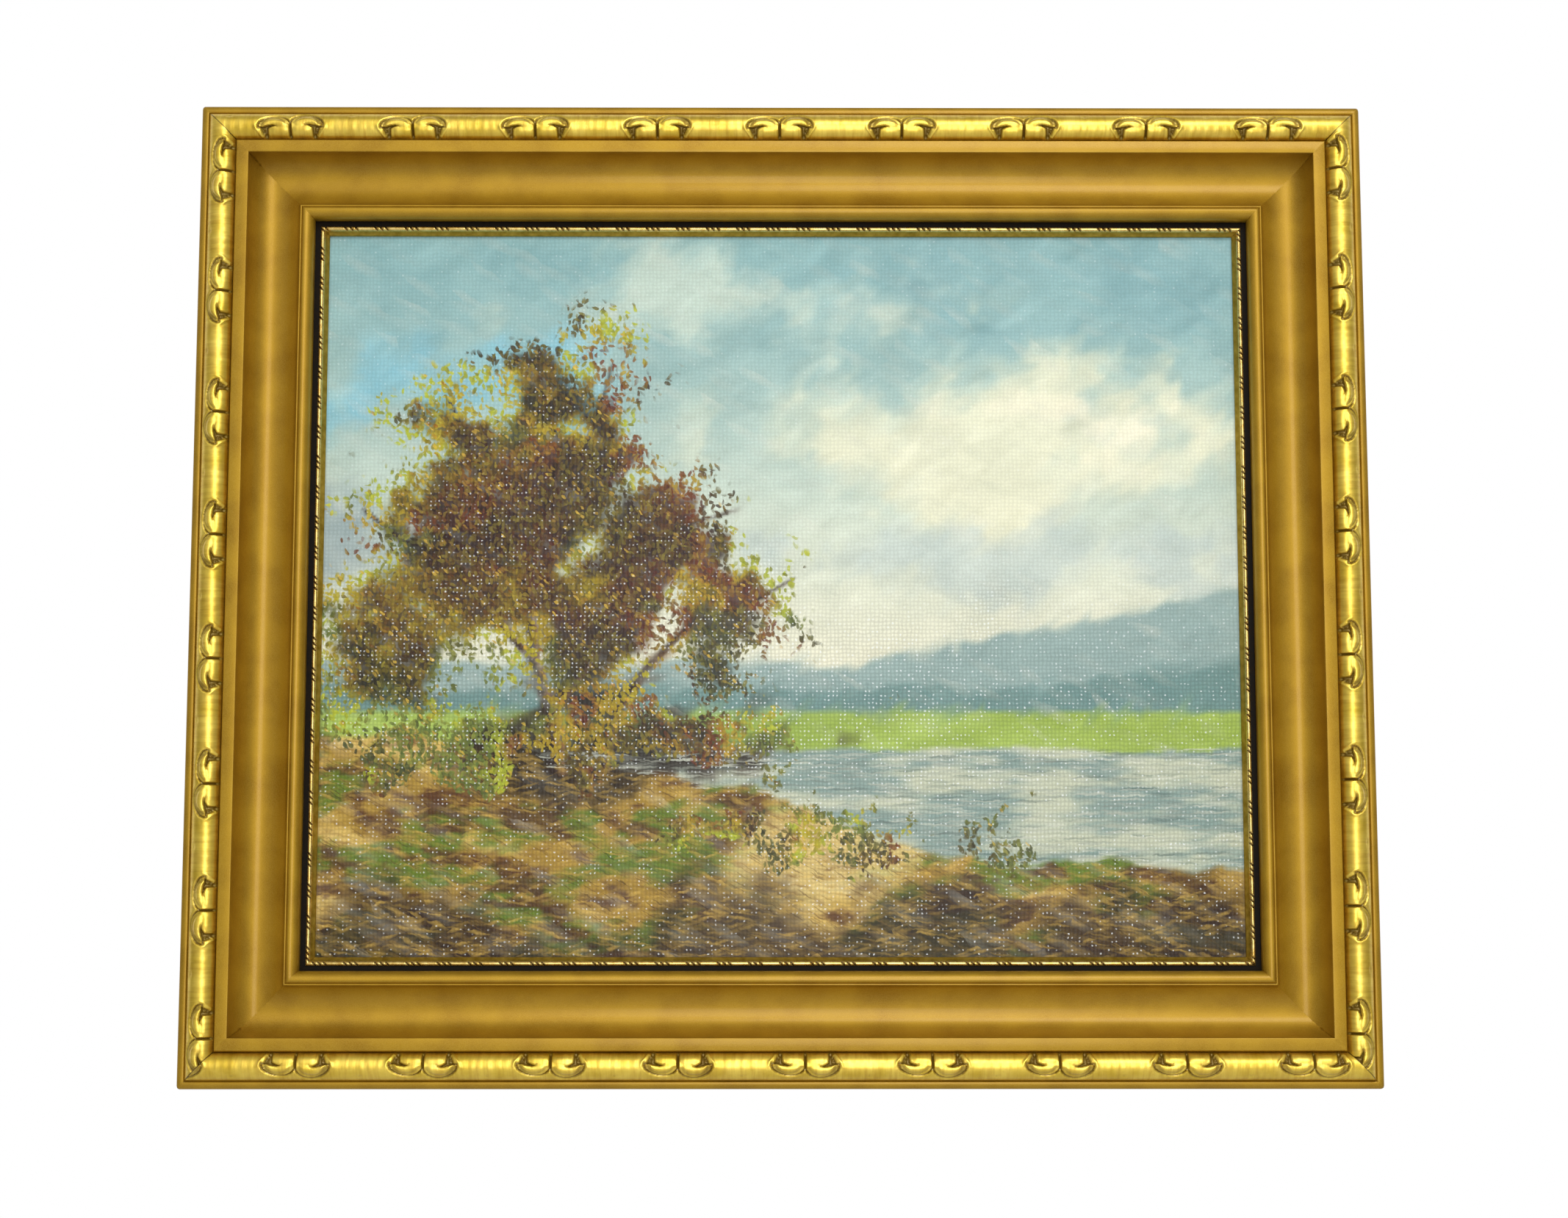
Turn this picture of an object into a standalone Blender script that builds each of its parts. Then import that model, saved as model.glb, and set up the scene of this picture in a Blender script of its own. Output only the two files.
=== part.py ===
"""A framed oil painting on stretched canvas: gilt moulded frame, black and gold liner, canvas on
four bars, and a toothed hanging strip on the back. Metres, +Z up, the picture faces -Y.
The origin is the middle of the hanging strip's wall side."""
import math

import bmesh
import bpy
from mathutils import Matrix, Vector

# Canvas and the bars it is stretched on
CANVAS_WIDTH = 0.300
CANVAS_HEIGHT = 0.240
CANVAS_THICKNESS = 0.0007
SIGHT_OVERLAP = 0.006
TURNOVER = 0.018
BAR_WIDTH = 0.032
BAR_DEPTH = 0.0125
BAR_LIP = 0.0025
BAR_BEVEL = 0.012
BAR_FALL = 0.0025

# Clearance between pieces that touch
FIT_GAP = 0.0003

# Frame moulding, widths across its face from the outer edge inwards
RIM_WIDTH = 0.0028
HALF_ROUND_WIDTH = 0.0080
GROOVE_WIDTH = 0.0004
FLAT_WIDTH = 0.0044
COVE_WIDTH = 0.0156
COVE_WALL_WIDTH = 0.0076
REED_WIDTH = 0.0007
BEAD_WIDTH = 0.0037

# Frame moulding, depths
FRAME_DEPTH = 0.030
RIM_DROP = 0.0047
QUIRK_DEPTH = 0.0009
HALF_ROUND_RISE = 0.0054
GROOVE_DEPTH = 0.0020
FLAT_DROP = 0.0018
COVE_DEPTH = 0.0092
COVE_RISE = 0.0034
REED_RISE = 0.0004
BEAD_RISE = 0.0008
BEAD_FALL = 0.0026
LIP_THICKNESS = 0.0030
ARRIS = 0.0003
CORNER_EASE = 0.0012

# Liner, widths and depths
LIP_COVER = 0.0050
BAND_WIDTH = 0.0021
SLIP_BEAD_WIDTH = 0.0014
SLIP_BEAD_RISE = 0.0007
BEVEL_WIDTH = 0.0012
BEVEL_FALL = 0.0010
LINER_THICKNESS = 0.0020
LINER_LEG_DEPTH = 0.0070

# Paired scrolls pressed into the half-round
PAIR_PITCH = 0.0390
PAIR_WIDTH = 0.0208
SCROLL_DEPTH = 0.0012
FIRST_PAIR_TOP = 0.0278
FIRST_PAIR_BOTTOM = 0.0349
FIRST_PAIR_LEFT = 0.0197
FIRST_PAIR_RIGHT = 0.0190

# Hanging strip
HANGER_LENGTH = 0.044
HANGER_HEIGHT = 0.009
HANGER_THICKNESS = 0.0008
HANGER_BRIDGE = 0.026
HANGER_RISE = 0.0014
HANGER_EDGE_INSET = 0.010
TOOTH_PITCH = 0.0026
TOOTH_DEPTH = 0.0014
TACK_HOLE_RADIUS = 0.0008

# How finely round shapes are drawn
HALF_ROUND_STEPS = 6
COVE_STEPS = 6
BEAD_STEPS = 4

# Sizes that follow from the ones above
MOULDING_FACE = (RIM_WIDTH + HALF_ROUND_WIDTH + GROOVE_WIDTH + FLAT_WIDTH
                 + COVE_WIDTH + REED_WIDTH + BEAD_WIDTH)
LINER_FACE = BAND_WIDTH + SLIP_BEAD_WIDTH + BEVEL_WIDTH
SIGHT_W = MOULDING_FACE + LINER_FACE
FRAME_WIDTH = CANVAS_WIDTH - 2 * SIGHT_OVERLAP + 2 * SIGHT_W
FRAME_HEIGHT = CANVAS_HEIGHT - 2 * SIGHT_OVERLAP + 2 * SIGHT_W
CANVAS_EDGE_W = SIGHT_W - SIGHT_OVERLAP
COVE_FLOOR = FRAME_DEPTH - FLAT_DROP - COVE_DEPTH
BEAD_TOP = COVE_FLOOR + COVE_RISE + REED_RISE + BEAD_RISE
LIP_UNDER = BEAD_TOP - BEAD_FALL - LIP_THICKNESS
LINER_TOP = LIP_UNDER - FIT_GAP
LINER_UNDER = LINER_TOP - LINER_THICKNESS
CANVAS_FRONT = LINER_UNDER - FIT_GAP
CANVAS_DEPTH = BAR_DEPTH + 2 * (CANVAS_THICKNESS + FIT_GAP)
LINER_OUTER_W = MOULDING_FACE - LIP_COVER
BACK_Y = -(HANGER_RISE + HANGER_THICKNESS + FIT_GAP)
OUTER_TOP_Z = HANGER_EDGE_INSET + HANGER_HEIGHT / 2

# Rings of points across one scroll, and its outline, as shares of half a pair and of the half-round
SCROLL_RINGS = (0.0, 0.08, 0.24, 0.44, 0.62, 0.76, 0.88, 1.0)
CUSP_ACROSS = 0.62
STEM_REACH = 0.80
CROWN_REACH = 0.55


def clear_objects():
    for old in list(bpy.data.objects):
        bpy.data.objects.remove(old, do_unlink=True)


def new_collection(name):
    made = bpy.data.collections.new(name)
    bpy.context.scene.collection.children.link(made)
    return made


def finish(name, colour, roughness, metallic):
    made = bpy.data.materials.new(name)
    made.use_nodes = True
    shader = made.node_tree.nodes["Principled BSDF"]
    shader.inputs["Base Color"].default_value = (*colour, 1.0)
    shader.inputs["Roughness"].default_value = roughness
    shader.inputs["Metallic"].default_value = metallic
    return made


def place(name, bm, material, collection):
    mesh = bpy.data.meshes.new(name)
    bmesh.ops.recalc_face_normals(bm, faces=bm.faces)
    if bm.calc_volume(signed=True) < 0:
        bmesh.ops.reverse_faces(bm, faces=bm.faces)
    bm.to_mesh(mesh)
    bm.free()
    mesh.materials.append(material)
    made = bpy.data.objects.new(name, mesh)
    collection.objects.link(made)
    return made


def arc(centre, radius_w, radius_h, start, end, steps):
    """Points (w, h) on an ellipse from one angle to another, in degrees."""
    points = []
    for k in range(steps + 1):
        angle = math.radians(start + (end - start) * k / steps)
        points.append((centre[0] + radius_w * math.cos(angle), centre[1] + radius_h * math.sin(angle)))
    return points


def side_frame(side):
    """Matrix that takes (along, across from the outer edge, up from the back) to the world.
    Top and bottom lengths run from the left corner, left and right ones from the top corner."""
    half = FRAME_WIDTH / 2
    low_z = OUTER_TOP_Z - FRAME_HEIGHT
    along, across, corner = {
        "top": (Vector((1, 0, 0)), Vector((0, 0, -1)), Vector((-half, BACK_Y, OUTER_TOP_Z))),
        "bottom": (Vector((1, 0, 0)), Vector((0, 0, 1)), Vector((-half, BACK_Y, low_z))),
        "left": (Vector((0, 0, -1)), Vector((1, 0, 0)), Vector((-half, BACK_Y, OUTER_TOP_Z))),
        "right": (Vector((0, 0, -1)), Vector((-1, 0, 0)), Vector((half, BACK_Y, OUTER_TOP_Z))),
    }[side]
    front = Vector((0, -1, 0))
    turn = Matrix((along, across, front)).transposed().to_4x4()
    return Matrix.Translation(corner) @ turn


def side_length(side):
    return FRAME_WIDTH if side in ("top", "bottom") else FRAME_HEIGHT


def cut_flat(bm, point, normal):
    """Removes what lies beyond a plane and closes the cut with one face."""
    parts = bm.verts[:] + bm.edges[:] + bm.faces[:]
    cut = bmesh.ops.bisect_plane(bm, geom=parts, dist=1e-7, plane_co=point, plane_no=normal,
                                 clear_outer=True)
    rim = [part for part in cut["geom_cut"] if isinstance(part, bmesh.types.BMEdge)]
    if rim:
        bmesh.ops.contextual_create(bm, geom=rim)


def mitre(bm, length, ease):
    """Cuts both ends at 45 degrees, half a clearance short of the corner line."""
    shift = FIT_GAP / math.sqrt(2)
    cut_flat(bm, (shift, 0, 0), (-1, 1, 0))
    cut_flat(bm, (length - shift, 0, 0), (1, 1, 0))
    if ease:
        cut_flat(bm, (ease, 0, 0), (-1, -1, 0))
        cut_flat(bm, (length - ease, 0, 0), (1, -1, 0))


def plain_length(section, side):
    """A prism of one section, longer than its side, before it is mitred."""
    bm = bmesh.new()
    over = SIGHT_W
    length = side_length(side)
    near = [bm.verts.new((-over, w, h)) for w, h in section]
    far = [bm.verts.new((length + over, w, h)) for w, h in section]
    bm.faces.new(near)
    bm.faces.new(list(reversed(far)))
    for k, vert in enumerate(near):
        after = (k + 1) % len(near)
        bm.faces.new((vert, far[k], far[after], near[after]))
    return bm


def mitred_piece(name, bm, side, material, collection, ease=0.0):
    mitre(bm, side_length(side), ease)
    bm.transform(side_frame(side))
    return place(name, bm, material, collection)


# Frame moulding
def half_round():
    """Centre, half-widths and end angles of the half-round's section."""
    foot = FRAME_DEPTH - HALF_ROUND_RISE
    flat = FRAME_DEPTH - FLAT_DROP
    inner_foot = flat - GROOVE_DEPTH
    end = math.asin((inner_foot - foot) / HALF_ROUND_RISE)
    radius = HALF_ROUND_WIDTH / (1 + math.cos(end))
    return (RIM_WIDTH + radius, foot), radius, math.degrees(end)


def outer_section():
    """From the back, round the rim, to the quirk at the half-round's outer foot."""
    rim = FRAME_DEPTH - RIM_DROP
    return [(0, 0), (0, rim - 3 * ARRIS), (ARRIS, rim - ARRIS), (3 * ARRIS, rim),
            (RIM_WIDTH - 2 * ARRIS, rim - ARRIS),
            (RIM_WIDTH - ARRIS, FRAME_DEPTH - HALF_ROUND_RISE - QUIRK_DEPTH)]


def inner_section():
    """From the groove beside the half-round, over flat, cove, reed and bead, to the back."""
    flat = FRAME_DEPTH - FLAT_DROP
    flat_w = RIM_WIDTH + HALF_ROUND_WIDTH + GROOVE_WIDTH
    cove_w = flat_w + FLAT_WIDTH
    low_w = cove_w + COVE_WALL_WIDTH
    reed_w = cove_w + COVE_WIDTH
    reed_h = COVE_FLOOR + COVE_RISE
    points = [(flat_w - ARRIS, flat - GROOVE_DEPTH), (flat_w, flat - ARRIS), (flat_w + ARRIS, flat),
              (cove_w - ARRIS, flat + ARRIS / 2), (cove_w, flat - ARRIS)]
    points += arc((low_w, flat - ARRIS), COVE_WALL_WIDTH, COVE_DEPTH - ARRIS, 180, 270, COVE_STEPS)[1:]
    reach = reed_w - low_w
    rise_radius = (reach ** 2 + COVE_RISE ** 2) / (2 * COVE_RISE)
    sweep = math.degrees(math.asin(reach / rise_radius))
    points += arc((low_w, COVE_FLOOR + rise_radius), rise_radius, rise_radius, 270, 270 + sweep,
                  COVE_STEPS)[1:]
    bead_h = reed_h + REED_RISE
    points += [(reed_w + REED_WIDTH / 2, bead_h), (reed_w + REED_WIDTH, bead_h - REED_RISE / 2)]
    middle = (reed_w + REED_WIDTH + BEAD_WIDTH / 2, bead_h - REED_RISE / 2)
    points += arc(middle, BEAD_WIDTH / 2, BEAD_TOP - middle[1], 150, 20, BEAD_STEPS)
    points += [(MOULDING_FACE, BEAD_TOP - BEAD_FALL), (MOULDING_FACE, LIP_UNDER),
               (LINER_OUTER_W - FIT_GAP, LIP_UNDER), (LINER_OUTER_W - FIT_GAP, 0)]
    return points


def bump(value, middle, spread):
    return math.exp(-((value - middle) / spread) ** 2)


def scroll_reach(across):
    """How far one scroll reaches from its pair's middle at a place across the half-round: least
    at the rim side, most at the cusp, less again at the stem on the picture side."""
    if across < CUSP_ACROSS:
        return STEM_REACH + (1 - STEM_REACH) * across / CUSP_ACROSS
    turn = (across - CUSP_ACROSS) / (1 - CUSP_ACROSS)
    return CROWN_REACH + (1 - CROWN_REACH) * math.sqrt(1 - turn ** 2)


def scroll_depth(reach, across):
    """How deep one scroll is cut, as a share of its full depth. Reach runs from the pair's middle
    to the scroll's own edge, across from the picture side to the rim side, both as shares."""
    if reach >= 1.0:
        return 0.0
    cleft = 0.95 * bump(reach, 0.0, 0.05) * min(1.0, 1.8 - 1.4 * across)
    hollow = 1.0 * bump(reach, 0.70, 0.12) * bump(across, 0.36, 0.20)
    stem = 0.6 * bump(reach, 0.80, 0.10) * bump(across, 0.10, 0.22)
    crescent = 1.0 * bump(reach, 0.89, 0.07) * bump(across, 0.66, 0.24)
    crown = 0.28 * bump(reach, 0.42, 0.30) * bump(across, 0.72, 0.22)
    return cleft + hollow + stem + crescent - crown


def pair_centres(side):
    first = {"top": FIRST_PAIR_TOP, "bottom": FIRST_PAIR_BOTTOM,
             "left": FIRST_PAIR_LEFT, "right": FIRST_PAIR_RIGHT}[side]
    length = side_length(side)
    count = int((length - first) / PAIR_PITCH) + 1
    return [first + PAIR_PITCH * k for k in range(count) if first + PAIR_PITCH * k < length]


def ring_places(side):
    """The rings of points along a rail's half-round, each as the pair's middle it belongs to and
    its signed share of half the pair. The two ends belong to no pair and are straight."""
    shares = [-share for share in reversed(SCROLL_RINGS[1:])] + list(SCROLL_RINGS)
    inside = [(centre, share) for centre in pair_centres(side) for share in shares]
    return [(-SIGHT_W, 0.0, True)] + [(c, s, False) for c, s in inside] + [
        (side_length(side) + SIGHT_W, 0.0, True)]


def carved_rail(side):
    """The frame moulding of one side, with the scrolls carved in its half-round."""
    bm = bmesh.new()
    centre, radius, end = half_round()
    rings = []
    far_side = math.cos(math.radians(end))
    for middle, share, straight in ring_places(side):
        ring = []
        for k in range(HALF_ROUND_STEPS + 1):
            angle = math.radians(180 + (end - 180) * k / HALF_ROUND_STEPS)
            across = (far_side - math.cos(angle)) / (1 + far_side)
            plain = straight or k in (0, HALF_ROUND_STEPS)
            cut = 0.0 if plain else SCROLL_DEPTH * scroll_depth(abs(share), across)
            along = middle + share * PAIR_WIDTH / 2 * scroll_reach(across)
            w = centre[0] + (radius - cut) * math.cos(angle)
            h = centre[1] + (HALF_ROUND_RISE - cut) * math.sin(angle)
            ring.append(bm.verts.new((along, w, h)))
        rings.append(ring)
    for here, after in zip(rings, rings[1:]):
        for k in range(HALF_ROUND_STEPS):
            bm.faces.new((here[k], here[k + 1], after[k + 1], after[k]))
    outer = outer_section()
    inner = inner_section()
    ends = []
    for ring in (rings[0], rings[-1]):
        along = ring[0].co.x
        before = [bm.verts.new((along, w, h)) for w, h in outer]
        behind = [bm.verts.new((along, w, h)) for w, h in inner]
        ends.append((before, ring, behind))
        bm.faces.new(before + ring + behind)
    near, far = ends
    for part in (0, 2):
        for k in range(len(near[part]) - 1):
            bm.faces.new((near[part][k], near[part][k + 1], far[part][k + 1], far[part][k]))
    bm.faces.new([near[0][-1]] + [ring[0] for ring in rings] + [far[0][-1]])
    bm.faces.new([near[2][0]] + [ring[-1] for ring in rings] + [far[2][0]])
    bm.faces.new((near[2][-1], near[0][0], far[0][0], far[2][-1]))
    return bm


# Liner
def liner_section():
    """The black band under the frame's lip, the slip bead, the bevel, and the leg behind."""
    bead_w = MOULDING_FACE + BAND_WIDTH
    bevel_w = bead_w + SLIP_BEAD_WIDTH
    leg_w = CANVAS_EDGE_W - FIT_GAP
    middle = (bead_w + SLIP_BEAD_WIDTH / 2, LINER_TOP)
    bead = arc(middle, SLIP_BEAD_WIDTH / 2, SLIP_BEAD_RISE, 180, 0, BEAD_STEPS)
    return ([(LINER_OUTER_W, LINER_TOP - LINER_LEG_DEPTH), (LINER_OUTER_W, LINER_TOP)] + bead
            + [(bevel_w + BEVEL_WIDTH, LINER_TOP - BEVEL_FALL), (SIGHT_W, LINER_UNDER),
               (leg_w, LINER_UNDER), (leg_w, LINER_TOP - LINER_LEG_DEPTH)])


# Stretcher bars
def bar_section():
    """Square at the outer edge, where the canvas bears on a lip, bevelled away behind it."""
    outer_w = CANVAS_EDGE_W + CANVAS_THICKNESS + FIT_GAP
    front = CANVAS_FRONT - CANVAS_THICKNESS - FIT_GAP
    back = front - BAR_DEPTH
    return [(outer_w, back), (outer_w, front), (outer_w + BAR_LIP, front),
            (outer_w + BAR_LIP + BAR_BEVEL, front - BAR_FALL), (outer_w + BAR_WIDTH, front - BAR_FALL),
            (outer_w + BAR_WIDTH, back)]


# Canvas
def block(name, size, middle, collection):
    bm = bmesh.new()
    bmesh.ops.create_cube(bm, size=1.0)
    bmesh.ops.scale(bm, vec=size, verts=bm.verts)
    bmesh.ops.translate(bm, vec=middle, verts=bm.verts)
    mesh = bpy.data.meshes.new(name)
    bm.to_mesh(mesh)
    bm.free()
    made = bpy.data.objects.new(name, mesh)
    collection.objects.link(made)
    return made


def as_cutter(made):
    made.hide_render = True
    made.display_type = "WIRE"
    return made


def cut_with(target, cutter):
    cutting = target.modifiers.new("cut_" + cutter.name, "BOOLEAN")
    cutting.operation = "DIFFERENCE"
    cutting.object = cutter
    cutting.solver = "EXACT"


def picture_middle(up_from_back):
    return Vector((0, BACK_Y - up_from_back, OUTER_TOP_Z - FRAME_HEIGHT / 2))


def stretched_canvas(material, parts, cutters):
    """A sheet drawn over the bars: front, four sides, and a border turned onto the back."""
    canvas = block("painted_canvas", (CANVAS_WIDTH, CANVAS_DEPTH, CANVAS_HEIGHT),
                   picture_middle(CANVAS_FRONT - CANVAS_DEPTH / 2), parts)
    canvas.data.materials.append(material)
    inside = block("canvas_inside", (CANVAS_WIDTH - 2 * CANVAS_THICKNESS,
                                     CANVAS_DEPTH - 2 * CANVAS_THICKNESS,
                                     CANVAS_HEIGHT - 2 * CANVAS_THICKNESS),
                   picture_middle(CANVAS_FRONT - CANVAS_DEPTH / 2), cutters)
    window = block("canvas_back_window", (CANVAS_WIDTH - 2 * TURNOVER, CANVAS_DEPTH,
                                          CANVAS_HEIGHT - 2 * TURNOVER),
                   picture_middle(CANVAS_FRONT - CANVAS_DEPTH), cutters)
    cut_with(canvas, as_cutter(inside))
    cut_with(canvas, as_cutter(window))
    return canvas


# Hanging strip
def hanging_strip(material, parts, cutters):
    """A steel strip with flat ends and a raised, toothed middle, nailed to the top rail."""
    ramp = HANGER_RISE
    half = HANGER_LENGTH / 2
    bridge = HANGER_BRIDGE / 2
    low = -(HANGER_RISE + HANGER_THICKNESS)
    slant = HANGER_THICKNESS * math.tan(math.pi / 8)
    wall_side = [(-half, low + HANGER_THICKNESS), (-bridge - ramp, low + HANGER_THICKNESS),
                 (-bridge, 0), (bridge, 0), (bridge + ramp, low + HANGER_THICKNESS),
                 (half, low + HANGER_THICKNESS)]
    wood_side = [(half, low), (bridge + ramp - slant, low), (bridge - slant, -HANGER_THICKNESS),
                 (slant - bridge, -HANGER_THICKNESS), (slant - bridge - ramp, low), (-half, low)]
    outline = bpy.data.curves.new("hanger_plate", "CURVE")
    outline.dimensions = "2D"
    outline.fill_mode = "BOTH"
    outline.extrude = HANGER_HEIGHT / 2
    spline = outline.splines.new("POLY")
    spline.points.add(len(wall_side + wood_side) - 1)
    for point, (x, y) in zip(spline.points, wall_side + wood_side):
        point.co = (x, y, 0, 1)
    spline.use_cyclic_u = True
    drawn = bpy.data.objects.new("hanger_outline", outline)
    parts.objects.link(drawn)
    depsgraph = bpy.context.evaluated_depsgraph_get()
    mesh = bpy.data.meshes.new_from_object(drawn.evaluated_get(depsgraph))
    bpy.data.objects.remove(drawn, do_unlink=True)
    bm = bmesh.new()
    bm.from_mesh(mesh)
    bmesh.ops.remove_doubles(bm, verts=bm.verts, dist=1e-6)
    bpy.data.meshes.remove(mesh)
    strip = place("hanger_plate", bm, material, parts)

    depth = 4 * (HANGER_RISE + HANGER_THICKNESS)
    teeth = bmesh.new()
    count = int(HANGER_BRIDGE / TOOTH_PITCH) - 1
    for k in range(count):
        x = (k - (count - 1) / 2) * TOOTH_PITCH
        wedge = bmesh.ops.create_cone(teeth, cap_ends=True, segments=3, radius1=TOOTH_DEPTH,
                                      radius2=TOOTH_DEPTH, depth=depth)
        turn = Matrix.Translation((x, 0, -HANGER_HEIGHT / 2)) @ Matrix.Rotation(math.pi / 2, 4, "X")
        bmesh.ops.transform(teeth, matrix=turn, verts=wedge["verts"])
    cut_with(strip, as_cutter(place("hanger_teeth", teeth, material, cutters)))

    holes = bmesh.new()
    reach = (half + bridge + ramp) / 2
    for x in (-reach, reach):
        hole = bmesh.ops.create_cone(holes, cap_ends=True, segments=12, radius1=TACK_HOLE_RADIUS,
                                     radius2=TACK_HOLE_RADIUS, depth=depth)
        turn = Matrix.Translation((x, 0, 0)) @ Matrix.Rotation(math.pi / 2, 4, "X")
        bmesh.ops.transform(holes, matrix=turn, verts=hole["verts"])
    cut_with(strip, as_cutter(place("hanger_tack_holes", holes, material, cutters)))
    return strip


# Assembly
clear_objects()
painting = new_collection("framed_oil_painting")
cutting_shapes = new_collection("cutters")

gilt_wood = finish("gilt_wood", (0.48, 0.27, 0.035), 0.38, 0.85)
liner_paint = finish("liner_paint", (0.030, 0.014, 0.006), 0.45, 0.0)
painted_linen = finish("painted_linen", (0.33, 0.36, 0.24), 0.45, 0.0)
pine = finish("pine", (0.55, 0.38, 0.20), 0.65, 0.0)
steel = finish("steel", (0.45, 0.43, 0.38), 0.35, 1.0)

for side_name in ("top", "bottom", "left", "right"):
    mitred_piece("frame_rail_" + side_name, carved_rail(side_name), side_name, gilt_wood, painting,
                 CORNER_EASE)
    mitred_piece("liner_" + side_name, plain_length(liner_section(), side_name), side_name,
                 liner_paint, painting)
    mitred_piece("stretcher_bar_" + side_name, plain_length(bar_section(), side_name), side_name,
                 pine, painting)
stretched_canvas(painted_linen, painting, cutting_shapes)
hanging_strip(steel, painting, cutting_shapes)
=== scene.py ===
import math

import bmesh
import bpy
import numpy as np
from mathutils import Matrix, Vector


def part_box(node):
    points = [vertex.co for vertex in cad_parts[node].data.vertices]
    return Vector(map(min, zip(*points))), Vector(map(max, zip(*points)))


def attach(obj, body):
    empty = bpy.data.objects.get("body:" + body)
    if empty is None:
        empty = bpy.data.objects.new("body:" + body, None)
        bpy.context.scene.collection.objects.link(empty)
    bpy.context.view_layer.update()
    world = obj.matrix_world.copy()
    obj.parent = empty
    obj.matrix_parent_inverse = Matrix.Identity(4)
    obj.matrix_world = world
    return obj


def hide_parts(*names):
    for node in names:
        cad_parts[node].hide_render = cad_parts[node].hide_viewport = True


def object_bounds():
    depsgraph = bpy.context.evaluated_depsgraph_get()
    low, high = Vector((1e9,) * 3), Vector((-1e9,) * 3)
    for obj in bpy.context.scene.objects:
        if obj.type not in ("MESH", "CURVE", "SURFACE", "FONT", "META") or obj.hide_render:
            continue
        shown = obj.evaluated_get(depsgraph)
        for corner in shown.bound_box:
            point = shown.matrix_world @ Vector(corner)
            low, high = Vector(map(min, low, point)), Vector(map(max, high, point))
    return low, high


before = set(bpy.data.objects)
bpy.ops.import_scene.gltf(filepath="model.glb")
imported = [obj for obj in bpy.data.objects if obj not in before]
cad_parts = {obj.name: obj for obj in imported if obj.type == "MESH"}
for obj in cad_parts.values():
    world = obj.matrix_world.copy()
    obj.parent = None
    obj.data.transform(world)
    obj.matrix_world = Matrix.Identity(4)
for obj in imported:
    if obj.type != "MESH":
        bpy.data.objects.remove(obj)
cad_low, cad_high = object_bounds()


# Frame rails
# Four lengths of softwood moulding, milled to one section, with paired scrolls pressed into the half-round.
# They are coated with matte gold bronze, burnished on the half-round, then mitred, glued and nailed.
MM = 0.001
SIDES = ("top", "bottom", "left", "right")
FRAME_WIDTH = cad_high.x - cad_low.x
FRAME_HEIGHT = cad_high.z - cad_low.z
RAIL_BACK_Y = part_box("frame_rail_top")[1].y
RAIL_DEPTH = RAIL_BACK_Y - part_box("frame_rail_top")[0].y
MOULDING_FACE = 35.6 * MM
REBATE_W = 30.3 * MM
LIP_UNDER = 18.0 * MM
RIM_WIDTH = 2.8 * MM
RIM_HEIGHT = 26.2 * MM
RIM_ROUND_W = 1.9 * MM
RIM_ROUND_H = 1.3 * MM
QUIRK_W = 2.5 * MM
QUIRK_HEIGHT = 25.7 * MM
HALF_ROUND_WIDTH = 8.3 * MM
HALF_ROUND_FOOT = 26.6 * MM
RIDGE_ROOM = 0.3 * MM
HALF_ROUND_RISE = RAIL_DEPTH - RIDGE_ROOM - HALF_ROUND_FOOT
HALF_ROUND_STEPS = 42
GROOVE_W = 11.25 * MM
GROOVE_HEIGHT = 26.2 * MM
FLAT_START = 11.65 * MM
FLAT_HEIGHT = 28.2 * MM
COVE_START = 15.6 * MM
COVE_LOWEST_W = 23.2 * MM
COVE_FLOOR = 19.0 * MM
COVE_END = 31.2 * MM
COVE_END_HEIGHT = 22.4 * MM
REED_RADIUS = 0.35 * MM
BEAD_START = 31.9 * MM
BEAD_CREST_W = 32.9 * MM
BEAD_FOOT = 22.6 * MM
BEAD_TOP = 23.6 * MM
BEAD_INNER_EDGE = 20.8 * MM
ARRIS = 0.3 * MM
PAIR_PITCH = 38.75 * MM
FIRST_PAIR = {"top": 28.8 * MM, "bottom": 36.7 * MM, "left": 21.9 * MM, "right": 20.5 * MM}
CORNER_ROUNDING = 1.0 * MM
MITRE_GAP = 0.006 * MM
SEAM_WELD = 0.002 * MM
ZONE_GOLD, ZONE_BURNISHED, ZONE_WOOD = 0, 1, 2


def section_arc(middle_w, middle_h, radius_w, radius_h, start, end, steps):
    """Points (across, up) on part of an ellipse, angles in degrees."""
    angles = np.radians(np.linspace(start, end, steps + 1))
    return [(middle_w + radius_w * math.cos(a), middle_h + radius_h * math.sin(a)) for a in angles]


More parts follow.
